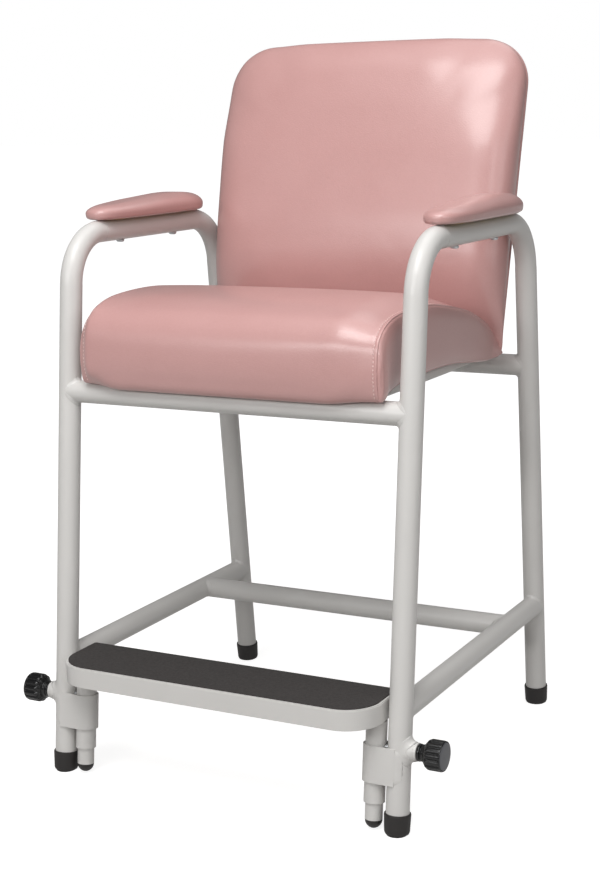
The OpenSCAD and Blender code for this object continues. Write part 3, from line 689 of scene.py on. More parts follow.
@finish("upholstery_vinyl")
def upholstery_vinyl(tree, shader, place):
    """Upholstery vinyl, embossed with a fine pebble and sewn tight: a slight unevenness of tone,
    and a soft, broad sheen under a clear wear layer. The 1.1 mm pebble is drawn at 1.8 mm, so that
    it shows."""
    tone = bpy.context.scene.hip_colours
    both = add(tree, "ShaderNodeMix", {"data_type": "FLOAT"}, Factor=0.35,
               i2=noise(tree, place, 0.09, 3.0), i3=noise(tree, place, 0.0035, 2.0)).outputs[0]
    pebble = cells(tree, place, 0.0018, {"feature": "SMOOTH_F1"}, Smoothness=0.5)
    plug(tree, shader, Base_Color=tint(tree, both, tone.vinyl, tone.vinyl_dark),
         Roughness=spread(tree, pebble, 0.32, 0.42), Normal=bump(tree, pebble, 0.30, 0.0005),
         IOR=1.52, Coat_Weight=0.6, Coat_Roughness=0.23)


@finish("spunbond_cloth")
def base_cloth(tree, shader, place):
    """Pale grey spun-bonded cloth under a seat: dull, with soft crossing fibres 2 mm apart."""
    tone = bpy.context.scene.hip_colours.cloth
    fibre = noise(tree, place, 0.002, 4.0)
    plug(tree, shader, Base_Color=tint(tree, fibre, tone, shaded(tone, 0.86)), Roughness=0.78,
         Normal=bump(tree, fibre, 0.25, 0.0003))


@finish("polyester_thread")
def sewing_thread(tree, shader, place):
    """Twisted polyester thread: a dull sheen and fine slanting plies, 0.9 mm apart."""
    plies = add(tree, "ShaderNodeTexWave", Vector=place, Scale=1 / 0.0009, Distortion=1.0)
    plug(tree, shader, Base_Color=bpy.context.scene.hip_colours.thread, Roughness=0.62,
         Normal=bump(tree, plies.outputs["Fac"], 0.4, 0.0002))


@finish("baked_powder_coat")
def powder_coat(tree, shader, place):
    """Epoxy powder coat baked on steel tube: an even pale grey with a soft gloss and a faint orange
    peel about 1.6 mm across."""
    tone = bpy.context.scene.hip_colours.coat
    cloud = noise(tree, place, 0.12, 2.0)
    plug(tree, shader, Base_Color=tint(tree, cloud, tone, shaded(tone, 0.93)), IOR=1.55,
         Roughness=spread(tree, cloud, 0.30, 0.38),
         Normal=bump(tree, noise(tree, place, 0.0016, 1.0), 0.08, 0.0003))


@finish("gritted_mat")
def mat_rubber(tree, shader, place):
    """Anti-slip mat, vinyl bonded with mineral grit: dark, matt and speckled. The 0.6 mm grit is
    drawn at 1.6 mm so it shows."""
    tone = bpy.context.scene.hip_colours.mat
    fleck = spread(tree, cells(tree, place, 0.0016), 0.0, 1.0, From_Min=0.05, From_Max=0.5)
    cloud = noise(tree, place, 0.004, 4.0)
    shade = tint(tree, math_of(tree, "MULTIPLY", fleck, cloud), shaded(tone, 1.9),
                 shaded(tone, 0.62))
    plug(tree, shader, Base_Color=shade, Roughness=0.86, Normal=bump(tree, cloud, 0.5, 0.0006))


@finish("zinc_plate")
def zinc_plate(tree, shader, place):
    """Bright zinc plating over pressed steel: pale metal with a grain of 1.5 mm spangle."""
    plug(tree, shader, Base_Color=bpy.context.scene.hip_colours.zinc, Metallic=1.0,
         Roughness=spread(tree, cells(tree, place, 0.0015), 0.26, 0.42))


@finish("bare_plywood")
def plywood(tree, shader, place):
    """Birch plywood, sanded and bare: pale faces with long grain across the chair, and thin dark
    and light plies of 1.4 mm on the edges."""
    tone = bpy.context.scene.hip_colours.ply
    stretch = add(tree, "ShaderNodeMapping", Vector=place, Scale=(6.0, 90.0, 1.0))
    grain = noise(tree, stretch.outputs["Vector"], 1.0, 5.0)
    plies = add(tree, "ShaderNodeTexWave", {"bands_direction": "Z"}, Vector=place,
                Scale=1 / 0.0088, Distortion=0.4)
    both = math_of(tree, "MULTIPLY", grain, plies.outputs["Fac"])
    plug(tree, shader, Base_Color=tint(tree, both, shaded(tone, 0.62), tone), Roughness=0.62,
         Normal=bump(tree, grain, 0.2, 0.0004))


def moulded(name, colour_name, low, high, grain, strength, ior):
    """Finish of a moulded part: one colour, an uneven gloss from low to high roughness, and a
    spark-eroded grain."""
    @finish(name)
    def material(tree, shader, place):
        tone = getattr(bpy.context.scene.hip_colours, colour_name)
        cloud = noise(tree, place, 0.02, 2.0)
        plug(tree, shader, Base_Color=tint(tree, cloud, tone, shaded(tone, 1.35, 0.002)), IOR=ior,
             Roughness=spread(tree, cloud, low, high),
             Normal=bump(tree, noise(tree, place, grain, 2.0), strength, 0.0003))
    return material


# Black rubber, blooming slightly grey where it is rubbed: matt, with a soft edge light
tip_rubber = moulded("moulded_tip_rubber", "tip", 0.50, 0.68, 0.0012, 0.18, 1.52)
# Phenolic moulding: near black and glossy, so a knob's flutes carry thin bright lines
knob_plastic = moulded("phenolic_knob", "knob", 0.20, 0.30, 0.0010, 0.05, 1.5)
# Polyethylene insert of a knob: a dull dark grey disc
cap_plastic = moulded("polyethylene_cap", "knob_cap", 0.42, 0.55, 0.0010, 0.08, 1.51)
# Polyethylene end plug: black with a waxy sheen
plug_plastic = moulded("polyethylene_plug", "tip", 0.36, 0.5, 0.0012, 0.08, 1.51)


@finish("studio_paper")
def studio_paper(tree, shader, place):
    """Seamless studio paper: matt white that keeps the chair's shadow near it. It burns out to
    white farther off, where the light is full, for the camera and partly for reflections."""
    ray = add(tree, "ShaderNodeLightPath")
    seen = math_of(tree, "MULTIPLY_ADD", ray.outputs["Is Glossy Ray"], 0.4,
                   ray.outputs["Is Camera Ray"])
    span = add(tree, "ShaderNodeVectorMath", {"operation": "LENGTH"}, i0=place).outputs["Value"]
    glow = spread(tree, span, 0.85, 1.02, From_Min=0.7, From_Max=1.9)
    plug(tree, shader, Base_Color=(0.42, 0.41, 0.40, 1), Roughness=0.9, Specular_IOR_Level=0.0,
         Emission_Strength=math_of(tree, "MULTIPLY", seen, glow), Emission_Color=(1, 1, 1, 1))


FINISHES = {
    "powder_coat": powder_coat, "vinyl": upholstery_vinyl, "plywood": plywood,
    "mat_rubber": mat_rubber, "tip_rubber": tip_rubber, "knob_plastic": knob_plastic,
    "plug_plastic": plug_plastic, "zinc_steel": zinc_plate,
}


# ---------------------------------------------------------------------- seat

# Seat, in millimetres: depth and height of the side seam, then of the same place on the crowned
# middle of the cover. The rows go from the front edge over the top, down the rear and back under.
SEAT = ((-223.2, 614, -231.5, 611), (-218.5, 638, -228.5, 640), (-208, 652, -217.5, 660),
        (-190, 662.5, -197, 674), (-151, 671, -153, 683.5), (-64, 672.5, -65, 685),
        (5, 664, 7.5, 677), (84, 648, 87, 660), (132, 632, 137, 643), (165, 617, 164, 625),
        (184, 602, 176.5, 603), (195, 589, 178, 586), (197, 577, 174, 575),
        (192, 567.5, 168, 569), (178, 565.6, 160, 566), (148, 566.2, 146, 565.5),
        (112, 569.5, 112, 565.3), (75, 574, 75, 565.3), (35, 578.5, 35, 565.3),
        (-20, 581, -20, 565.3), (-80, 581, -80, 565.3), (-150, 579.5, -150, 565.3),
        (-186, 572.5, -190, 565.5), (-204, 566, -206.5, 564.4), (-214.5, 564.5, -213, 560.6),
        (-219.5, 569, -221, 559), (-222.5, 580, -228.2, 567), (-224, 597, -231.2, 586))
# Distance of each row of the cover from its seam, finer towards the seam
SEAT_ROWS = (0, 0.9, 1.9, 3.1, 4.6, 6.5, 9, 12, 16, 21, 26, 32, 39, 46, 54, 63, 73, 84, 96, 109,
             122, 136, 150, 165, 181, 197, 213, 229)
# Points in half a row, and points up a side panel
SEAT_HALF, PANEL_ROWS = 108, 23
# Heights: between the first two a seam begins to show, and up to the third the lip goes over into
# the top
BOARD_Z, SEAM_Z, LIP_Z = 0.566, 0.572, 0.600
# Width of a seam's groove, depth and width of the dip that the stitches pull, how deep the thread
# lies in it, and the distance from a seam at which the lip and the gathers begin
SEAM_WIDE, PULL, PULL_WIDE, THREAD_IN, SEAM_CLEAR = 0.0008, 0.0006, 0.0012, 0.00035, 0.004
# Gathers in a side panel: the corner that they fan out from (y, z), how far they reach, their mean
# and added height, their number in half a turn and where they start
GATHER_AT, GATHER_REACH = (0.200, 0.567), 0.036
GATHER_MEAN, GATHER_WAVE, GATHERS, GATHER_TURN = 0.010, 0.004, 9, 0.6
# Where the cover is held: this near a side seam, under a height behind the lip, under a height at
# the lip, and behind the place where the back stands
HELD_SIDE, HELD_BOARD, HELD_LIP, HELD_REAR = 0.0095, (0.5835, -0.20), (0.580, -0.19), 0.150
# Air pressure for the seat and back, and for the arm pads
PRESSURE, PAD_PRESSURE = 2.5, 2.0
# Base cloth: power of its plan, points in a quarter of it, and the rows of its rounded lower edge
# (how far back from the side, how high)
CLOTH_POWER, CLOTH_QUARTER = 14, 40
CLOTH_EDGE = ((0.0020, 0), (0.0012, 0.0002), (0.0004, 0.0008), (0, 0.002), (0, 0.008))
# Stitch: rings along it, points round it, how far it lies below its line and how far its ends dip
# (shares of its radius), and how many points of the seam before the front edge the row begins
STITCH_RINGS, STITCH_ROUND, STITCH_LOW, STITCH_DIP, STITCH_START = 7, 6, 0.1, 0.6, 9


def seat_profile():
    """The seat's side seam and its middle profile, place by place, the seam's front edge first."""
    ring = closed_curve(SEAT, FINE) * MM
    front, rear = np.argmin(ring[:, 0]), np.argmax(ring[:, 0])
    return spans(np.roll(ring, -front, 0), (0, (rear - front) % FINE), SEAT_HALF)


def seat_cover(size, profile, inset):
    """Points of the seat's cover at distances in from its right seam or, where negative, from its
    left seam: seam + (middle - seam) * fill. The fill rises as 3t^2 - 2t^3 with the distance in,
    over the run given for that side, and apart for the top and for the lip over the front tube."""
    far, left = np.abs(inset), inset < 0
    top = smooth(far, 0, np.where(left, size.fall_left, size.fall_right))
    low = smooth(far, SEAM_CLEAR, np.where(left, size.lip_left, size.lip_right))
    high = smooth(profile[:, 1], BOARD_Z, LIP_Z)
    fill = top[:, None] * high + low[:, None] * (1 - high)
    flat = profile[None, :, :2] + (profile[None, :, 2:] - profile[None, :, :2]) * fill[..., None]
    half = np.where(left, -size.half_left, size.half_width) * (1 - far / size.half_width)
    return np.concatenate([np.broadcast_to(half[:, None, None], flat.shape[:2] + (1,)), flat], -1)


def seat_sides(size, edge, sink):
    """Both side panels inside the seam, from the cover's right edge and how far it is sunk:
    straight lines from the seam under the foam to the seam over it, swelling out by
    1 - (2t - 1)^4, with folds that fan out from the rear bottom corner."""
    n, half = len(edge) // 2, edge[:, 0].max()
    over, under = edge[:n + 1], np.vstack([edge[:1], edge[:n - 1:-1]])
    rise = (0.5 - 0.5 * np.cos(np.linspace(0, math.pi, PANEL_ROWS)))[:, None]
    panel = under[None] * (1 - rise[..., None]) + over[None] * rise[..., None]
    tall = np.linalg.norm(over - under, axis=1)
    from_seam = np.minimum(rise, 1 - rise) * tall[None]
    swell = (1 - (2 * rise - 1) ** 4) * np.sqrt(tall / tall.max())[None]
    dy, dz = panel[..., 1] - GATHER_AT[0], panel[..., 2] - GATHER_AT[1]
    reach = np.clip(1 - np.hypot(dy, dz) / GATHER_REACH, 0, 1)
    wave = np.cos(np.arctan2(dz, -dy) * GATHERS + GATHER_TURN)
    lifted = (sink[:n + 1] * (1 - dent(from_seam, SEAM_WIDE)) + size.side_bulge * swell
              + reach * (GATHER_MEAN + GATHER_WAVE * wave) * smooth(from_seam, 0, SEAM_CLEAR))
    sides = []
    for side, to in ((1, half), (-1, size.half_left)):
        out = panel.copy()
        out[..., 0] = side * (panel[..., 0] - half + to + lifted)
        sides.append(grid(out))
    return sides


def base_cloth_parts(size):
    """Taut sheet stapled under the board and turned up round its edge into the cover. Its plan is
    |x / a|^14 + |y / b|^14 = 1, and its wall rises straight from a rounded lower edge."""
    turns = np.linspace(-0.75 * math.pi, 1.25 * math.pi, CLOTH_QUARTER * 4, endpoint=False)
    plan = superellipse(size.base_half, size.base_long, CLOTH_POWER, CLOTH_POWER, turns)
    rows = [raised(plan * (1 - back / plan.max()) + [0, size.base_mid], size.base_z + up)
            for back, up in CLOTH_EDGE + ((0, size.base_tall),)]
    flats = [raised(filled(row[:, :2], CLOTH_QUARTER)[0], row[0, 2]) for row in (rows[0], rows[-1])]
    return [grid(np.stack(rows), wrap_cols=True)] + [grid(flat) for flat in flats]


def stitch_rows(size, runs):
    """Stitches laid along lines, each line given as points and outward directions: every stitch is
    a capsule, cos(t) wide at the share sin(t) of its half length, sunk at both ends."""
    pitch, half, radius = size.stitch_pitch, size.stitch_long / 2, size.stitch_r
    t = np.linspace(-math.pi / 2, math.pi / 2, STITCH_RINGS)[:, None, None]
    a = np.linspace(0, 2 * math.pi, STITCH_ROUND, endpoint=False)[:, None]
    faces = quads(STITCH_RINGS, STITCH_ROUND, wrap_cols=True)
    parts = []
    for line, up in runs:
        run = run_along(line)
        at = np.arange(pitch, run[-1] - pitch, pitch)
        forward = unit(read_at(line, run, at + half) - read_at(line, run, at - half))
        lift = unit(square_to(read_at(up, run, at), forward))
        middle, way, side, lift = (v[:, None, None] for v in (
            read_at(line, run, at), forward, np.cross(forward, lift), lift))
        points = (middle + way * half * np.sin(t)
                  + radius * np.cos(t) * (side * np.cos(a) + lift * (np.sin(a) - STITCH_LOW))
                  - lift * STITCH_DIP * radius * np.sin(t) ** 4)
        starts = np.arange(len(at))[:, None, None] * STITCH_RINGS * STITCH_ROUND
        parts.append((points.reshape(-1, 3), (faces + starts).reshape(-1, 4)))
    return parts


class HIPCHAIR_OT_seat(bpy.types.Operator):
    """Builds the seat cushion: a cover wrapped over the foam between two sewn side panels"""
    bl_idname = "hipchair.seat"
    bl_label = "Seat cushion"

    def execute(self, context):
        size = context.scene.hip_seat
        profile = seat_profile()
        seam = profile[:, :2]
        normal = outward(seam)
        rows = np.array(SEAT_ROWS) * MM
        inset = np.concatenate([-rows, rows[-2::-1]])
        inset[0] = -SMALL
        cover = seat_cover(size, profile, inset)
        # Both panels dip into the seam, and the cover dips again where the stitches pull it down
        near = np.abs(inset)
        dip = size.groove * dent(near, SEAM_WIDE) + PULL * dent(near - size.stitch_in, PULL_WIDE)
        shown = smooth(seam[:, 1], BOARD_Z, SEAM_Z)
        cover[..., 1:] -= normal[None] * (dip[:, None] * shown[None])[..., None]
        sink = size.groove * shown
        cover[0, :, 0] += sink
        cover[-1, :, 0] -= sink
        half = cover[-1, :, 0].max()

        def held(here):
            x, y, z = here.T
            return ((x > half - HELD_SIDE) | (x < HELD_SIDE - size.half_left) | (y > HELD_REAR)
                    | (z < HELD_BOARD[0]) & (y > HELD_BOARD[1])
                    | (z < HELD_LIP[0]) & (y < HELD_LIP[1]))
        parts = [grid(cover, wrap_cols=True)] + seat_sides(size, cover[-1], sink)
        piece = upholstered("seat_cover", parts, held, size.swell, PRESSURE)
        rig.replaces(piece, "seat_cushion")
        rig.padded(piece, fill=0.9)
        wear(mesh_of("seat_base_cloth", base_cloth_parts(size)), base_cloth(), None, "frame")
        # Topstitching along both seams, from under the front lip over the top to the rear
        order = np.r_[-STITCH_START:SEAT_HALF + 1]
        up = np.concatenate([np.zeros((len(normal), 1)), normal], -1)[order]
        runs = [(seat_cover(size, profile, np.array([inward]))[0][order] - up * THREAD_IN, up)
                for inward in (-size.stitch_in, size.stitch_in)]
        wear(mesh_of("seat_stitches", stitch_rows(size, runs)), sewing_thread(), "vinyl", "frame")
        return {"FINISHED"}


# ---------------------------------------------------------------------- back

# Thickness of the back at shares of its height, as a share of its fullest: thin behind the seat
BACK_UP = (0.0, 0.05, 0.09, 0.14, 0.20, 0.27, 0.40, 0.62, 0.80, 0.92, 1.0)
BACK_THICK = (0.13, 0.19, 0.30, 0.52, 0.76, 0.95, 1.0, 0.97, 0.86, 0.74, 0.63)
# Points in a quarter of the outline and in a corner's turn, powers of the roll's section, steps up
# the back, and half of the run of steps over which the thickness is evened
BACK_QUARTER, BACK_TURN, BACK_POWERS, BACK_STEPS, BACK_EASE = 80, 41, (2.1, 3.3), 200, 8
# The outline's corners lie farthest along these diagonals
DIAGONAL = 0.7
# Shares of the half width and of the height over which a top corner's roll grows, and the share of
# the height above which the top is arched
CORNER_X, CORNER_UP, ARCH_UP = (0.45, 0.90), (0.66, 0.95), 0.80
# Width of the front's groove, how far the band turns in, and how full its middle is
FRONT_SEAM_WIDE, BAND_TUCK, BAND_FULL = 0.0010, 0.005, 0.0010
# Shares of the band's depth: its rows, the part that turns in, and the part that is full
BAND_STEPS = (0, 0.10, 0.22, 0.36, 0.5, 0.66, 0.80, 0.92, 1.0)
BAND_TURN, BAND_FLAT = (0.55, 1.0), 0.7
# The cover is held this far in front of its seam, and up to this height behind the seat
HELD_BAND, HELD_BACK = 0.006, 0.07


def back_outline(size, count):
    """Edge of the back in its own plane, across and up: straight sides joined by quarter circles,
    with the top arched. It starts at the middle of the bottom left corner, anticlockwise."""
    turns = []
    for sx, sy, half, r, start in ((-1, -1, size.half_low, size.corner_low, 180),
                                   (1, -1, size.half_low, size.corner_low, 270),
                                   (1, 1, size.half_top, size.corner_top, 0),
                                   (-1, 1, size.half_top, size.corner_top, 90)):
        centre = np.array([sx * (half - r), r if sy < 0 else size.tall - r])
        a = np.radians(np.linspace(start, start + 90, BACK_TURN))
        turns.append(centre + r * np.stack([np.cos(a), np.sin(a)], -1))
        if sx * sy > 0:
            # The long top and bottom edges get points of their own, for the arch
            other = np.array([-centre[0], centre[1] + sy * r])
            near = centre + np.array([0, sy * r])
            turns.append(near + (other - near) * np.linspace(0, 1, BACK_TURN + 1)[1:-1, None])
    ring = even(np.vstack(turns), FINE)
    ring = np.roll(ring, -np.argmin(ring[:, 0] * DIAGONAL + ring[:, 1] * DIAGONAL), 0)
    marks = [int(np.argmax(ring @ (np.array(d) * DIAGONAL))) for d in ((1, -1), (1, 1), (-1, 1))]
    ring[:, 1] += size.arch * smooth(ring[:, 1], ARCH_UP * size.tall, size.tall) * (
        1 - (ring[:, 0] / size.half_top) ** 2)
    return spans(ring, [0] + marks, count)


def back_depth(size, up):
    """Thickness of the back at a height up the rake: thin behind the seat, full, then thinner."""
    fine = np.linspace(0, 1, BACK_STEPS + 1)
    wide = 2 * BACK_EASE + 1
    eased = np.convolve(np.pad(np.interp(fine, BACK_UP, BACK_THICK), BACK_EASE, "edge"),
                        np.ones(wide) / wide, "valid")
    return size.thick * np.interp(up / size.tall, fine, eased)


def in_back(size, flat, out):
    """Points of the back's own frame put in place: up the rake, and out along its front normal."""
    c, s = math.cos(size.rake), math.sin(size.rake)
    across, up = flat[..., 0], flat[..., 1]
    return np.stack([across, size.rear_y + up * s - out * c, size.bottom_z + up * c + out * s], -1)


class HIPCHAIR_OT_back(bpy.types.Operator):
    """Builds the back cushion: a full front cover sewn to a rear band and a flat rear cover"""
    bl_idname = "hipchair.back"
    bl_label = "Back cushion"

    def execute(self, context):
        size = context.scene.hip_back
        edge = back_outline(size, BACK_QUARTER)
        centre = edge.mean(0)

        def thick(up):
            return back_depth(size, up)

        def band_at(up):
            return np.minimum(size.band, back_depth(size, up) * 0.5)
        # The front rolls over farther at the two top corners
        corner = (smooth(np.abs(edge[:, 0]) / size.half_top, *CORNER_X)
                  * smooth(edge[:, 1] / size.tall, *CORNER_UP))
        flat, out, at = padded_front(edge, BACK_QUARTER, thick, band_at, size.roll, BACK_POWERS,
                                     size.bulge, 1 + size.corner_roll * corner,
                                     size.corner_lean * corner)
        # The seam itself is drawn in, and the first ring of the front rolls over it
        flat = flat - unit(flat - centre) * size.groove * dent(at, FRONT_SEAM_WIDE)[..., None]
        # Band: from the seam straight back, slightly full, then turned onto the rear cover
        low = band_at(edge[:, 1])
        step = np.array(BAND_STEPS)[:, None]
        tuck = (BAND_TUCK * smooth(step, *BAND_TURN)
                - BAND_FULL * np.sin(math.pi * np.clip(step / BAND_FLAT, 0, 1)))
        sunk = size.groove * dent(step * low[None], SEAM_WIDE)
        ring = (edge[None] - outward(edge)[None] * tuck[..., None]
                - unit(edge - centre)[None] * sunk[..., None])

        def held(here):
            c, s = math.cos(size.rake), math.sin(size.rake)
            y, z = here[:, 1] - size.rear_y, here[:, 2] - size.bottom_z
            up = y * s + z * c
            return (z * s - y * c < band_at(up) + HELD_BAND) | (up < HELD_BACK)
        parts = [grid(in_back(size, flat, out)),
                 grid(in_back(size, ring, low[None] * (1 - step)), wrap_cols=True),
                 grid(in_back(size, filled(ring[-1], BACK_QUARTER)[0], 0))]
        piece = upholstered("back_cover", parts, held, size.swell, PRESSURE)
        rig.replaces(piece, "back_cushion")
        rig.padded(piece, fill=0.9)
        return {"FINISHED"}


# ------------------------------------------------------------------ arm pads

# Powers of a pad's plan and of its section, points in a quarter of its outline, the share of its
# half width that is rolled, rows underneath, gathers round it, and the power of the turn under
PAD_PLAN, PAD_POWERS, PAD_QUARTER, PAD_ROLL = (2.5, 4.0), (2.2, 2.7), 36, 0.96
PAD_ROWS, PAD_GATHERS, PAD_TUCK = 9, 46, 1.2
# Shares of the half length, from the middle, over which the height is lost at each end
PAD_FRONT, PAD_REAR = (-0.30, 1.0), (0.45, 1.0)
# The cover is held up to this far over its widest line
HELD_PAD = 0.001


def pad_outline(w, l):
    """Plan of an arm pad, |x / w|^2.5 + |y / l|^4 = 1, started at a corner of the long shape."""
    ring = even(superellipse(w, l, *PAD_PLAN, np.linspace(0, 2 * math.pi, FINE, endpoint=False)),
                FINE)
    ring = np.roll(ring, -int(np.argmin(ring[:, 0] / w + ring[:, 1] / l)), 0)
    edge = even(ring, PAD_QUARTER * 4)
    marks = [int(np.argmax(edge @ np.array(d))) for d in
             ((1 / w, -1 / l), (1 / w, 1 / l), (-1 / w, 1 / l))]
    return spans(edge, [0] + marks, PAD_QUARTER)


class HIPCHAIR_OT_arm_pads(bpy.types.Operator):
    """Builds the two arm pads: a full cover over a board, lower in front, gathered underneath"""
    bl_idname = "hipchair.arm_pads"
    bl_label = "Arm pads"

    def execute(self, context):
        size = context.scene.hip_arms
        for name, side in SIDES:
            low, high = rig.box(f"{name}_arm_pad")
            mid = np.array([low[0] + high[0], low[1] + high[1] + size.rear - size.front]) / 2
            w, l = (high[0] - low[0]) / 2, (high[1] - low[1] + size.rear + size.front) / 2
            base = low[2]
            edge = pad_outline(w, l)

            def thick(along):
                return (high[2] - base) * (1 - size.front_drop * smooth(-along / l, *PAD_FRONT)
                                           - size.rear_drop * smooth(along / l, *PAD_REAR))
            flat, out, _ = padded_front(
                edge, PAD_QUARTER, thick, lambda along: along * 0 + size.edge, w * PAD_ROLL,
                PAD_POWERS, size.bulge, np.ones(len(edge)), np.zeros(len(edge)))
            # Under the widest line the cover turns in and is gathered flat against the board
            step = np.linspace(0, 1, PAD_ROWS)[:, None]
            tuck = size.tuck * (1 - np.cos(step * math.pi / 2)) ** PAD_TUCK
            run = run_along(looped(edge))
            gather = size.gather * np.sin(2 * math.pi * run[:-1] / run[-1] * PAD_GATHERS)[None]
            ring = edge[None] - outward(edge)[None] * (tuck + gather * step ** 2)[..., None]
            parts = [grid(raised(flat + mid, base + out)),
                     grid(raised(ring + mid, base + size.edge * (1 - np.sin(step * math.pi / 2))),
                          wrap_cols=True),
                     grid(raised(filled(ring[-1], PAD_QUARTER)[0] + mid, base))]

            def held(here):
                return here[:, 2] < base + size.edge + HELD_PAD
            piece = upholstered(f"{name}_pad_cover", parts, held, size.swell, PAD_PRESSURE)
            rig.replaces(piece, f"{name}_arm_pad")
            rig.padded(piece, fill=0.95)
        return {"FINISHED"}


# --------------------------------------------------------------------- welds

# Points round a weld, across its face and along a strap weld, and the power of an open end's taper
WELD_ROUND, WELD_FACE, STRAP_POINTS, TAPER = 96, 8, 60, 8
# How deep a weld's toes and its root lie in the tubes, its ripple as a share of its leg, and how
# full its face is, as a share of its leg
TOE_IN, ROOT_IN, RIPPLE, FULL, BUSH_FULL = 0.00006, 0.0007, 0.05, 0.13, 0.05
# Gap between an upright and the rear of the back
UPRIGHT_GAP = 0.00015
# Strap weld, placed across the leg from its middle and out from its axis: the toe on the strap
# (metres across), the toe on the leg (in leg radii), the root (metres across, radii out); then how
# far its face reaches across, its ripple and the ripple's length, and how far out the face stands,
# as a share of the strap's face
STRAP_TOE, STRAP_LEG, STRAP_ROOT = -0.0012, (0.66, 0.748), (0.0010, 0.80)
STRAP_REACH, STRAP_RIPPLE, STRAP_WAVE, STRAP_FACE = 0.0050, 0.0004, 0.0013, 0.985
RIGHT, BACK = np.array([1.0, 0, 0]), np.array([0, 1.0, 0])


def frame_of(way):
    """A unit direction, and two more square to it and to each other."""
    way = unit(np.asarray(way, float))
    side = unit(np.cross(way, [0.0, 0.0, 1.0] if abs(way[2]) < 0.9 else RIGHT))
    return way, side, np.cross(way, side)


def bead(toe_a, toe_b, corner, root, closed):
    """A weld bead along a line: its face is the curve (1 - t)^2 a + 2t(1 - t) c + t^2 b from one
    toe to the other, and its root lies inside the joint. An open bead's ends shrink to the root."""
    t = np.linspace(0, 1, WELD_FACE)[:, None, None]
    face = (1 - t) ** 2 * toe_a + 2 * t * (1 - t) * corner + t ** 2 * toe_b
    ring = np.concatenate([face, root[None]], 0).transpose(1, 0, 2)
    if closed:
        ring = looped(ring)
    else:
        run = np.linspace(-1, 1, len(ring))[:, None, None]
        ring = root[:, None] + (ring - root[:, None]) * np.sqrt(np.clip(1 - run ** TAPER, 0, 1))
    return grid(ring, wrap_cols=True)


def weld(main, main_way, main_r, branch, branch_way, branch_r, leg, full=FULL):
    """A fillet weld round the end of a branch tube on a main tube, in world metres. The joint line
    is where the branch's straight lines meet the main cylinder. The toes lie one leg away from it
    on either tube, measured along its surface, and the leg has slight ripples."""
    d, _, _ = frame_of(main_way)
    b, e1, e2 = frame_of(branch_way)
    a = np.linspace(0, 2 * math.pi, WELD_ROUND, endpoint=False)
    radial = np.cos(a)[:, None] * e1 + np.sin(a)[:, None] * e2
    start = square_to(branch + branch_r * radial - main, d)
    along = square_to(b, d)
    two, one = along @ along, start @ along
    none = np.sum(start * start, 1) - main_r ** 2
    t = (-one + np.sqrt(np.maximum(one ** 2 - two * none, 0))) / two
    joint = branch + branch_r * radial + t[:, None] * b
    n = unit(square_to(joint - main, d))
    slip = square_to(radial, n)
    size = np.linalg.norm(slip, axis=1)[:, None]
    ripple = leg * (1 + RIPPLE * (np.sin(a * 26) + np.sin(a * 7 + 1)))[:, None]
    toe_b = joint + b * ripple * (0.25 + 0.75 * size) - radial * TOE_IN
    toe_a = joint + slip * ripple
    off = square_to(toe_a - main, d)
    toe_a += unit(off) * (main_r - TOE_IN) - off
    return bead(toe_a, toe_b, joint + (radial + n) * ripple * full * size,
                joint - (radial + n) * ROOT_IN, True)


def leg_line(size, front):
    """A leg's axis at floor level and its direction, on the left side."""
    foot, lean = (-size.front_foot, size.front_lean) if front else (size.rear_foot, -size.rear_lean)
    return np.array([size.half, foot, 0]), np.array([0, math.tan(lean), 1])


class HIPCHAIR_OT_welds(bpy.types.Operator):
    """Lays the fillet welds where the frame's tubes meet and where the straps meet the legs"""
    bl_idname = "hipchair.welds"
    bl_label = "Welds"

    def execute(self, context):
        size, back = context.scene.hip_metal, context.scene.hip_back
        r, low, high = size.tube_r, size.stretcher_z, size.cross_z
        legs = [(*leg_line(size, front), way) for front, way in ((True, BACK), (False, -BACK))]
        tubes = []
        for foot, way, inward in legs:
            tubes.append(weld(foot, way, r, foot + way * high, -RIGHT, r, size.weld))
            tubes.append(weld(foot, way, r, foot + way * low, inward, r, size.weld))
        tubes.append(weld(np.array([size.half, 0, low]), BACK, r,
                          np.array([size.half, size.rear_stretcher_y, low]), -RIGHT, r, size.weld))
        # Under the seat: the rails on both cross tubes, and the uprights on the rails
        for foot, way, inward in legs:
            main = foot + way * high
            tubes.append(weld(main, -RIGHT, r, np.array([size.rail_x, main[1], high]), inward, r,
                              size.seat_weld))
        lean = np.array([0, math.sin(back.rake), math.cos(back.rake)])
        upright_y = back.rear_y + (high - back.bottom_z) * math.tan(back.rake) + (
            size.upright_r + UPRIGHT_GAP) / math.cos(back.rake)
        tubes.append(weld(np.array([size.rail_x, 0, high]), BACK, r,
                          np.array([size.rail_x, upright_y, high]), lean, size.upright_r,
                          size.seat_weld))
        # Straps: the plate ends flush over the leg, and the weld runs down onto the leg's flank
        foot, way, _ = legs[0]
        run = np.linspace(size.strap_low, size.strap_high, STRAP_POINTS)[:, None]
        face = unit(np.cross(frame_of(way)[0], RIGHT))
        reach = STRAP_REACH + STRAP_RIPPLE * np.sin(run / STRAP_WAVE)
        straps = []
        for normal in (-face, face):
            def at(x, out):
                return foot + way * run + RIGHT * x + normal * out
            straps.append(bead(
                at(STRAP_TOE, size.strap_out - TOE_IN), at(r * STRAP_LEG[0], r * STRAP_LEG[1]),
                at(reach, size.strap_out * STRAP_FACE), at(STRAP_ROOT[0], r * STRAP_ROOT[1]),
                False))
        for name, pieces in (("tube_welds", tubes), ("strap_welds", straps)):
            for side_name, side in SIDES:
                mirrored = [(c * np.array([side, 1, 1]), f) for c, f in pieces]
                piece = mesh_of(f"{side_name}_{name}", mirrored)
                wear(piece, powder_coat(), "powder_coat", "frame")
        return {"FINISHED"}


# -------------------------------------------------------------------- clamps

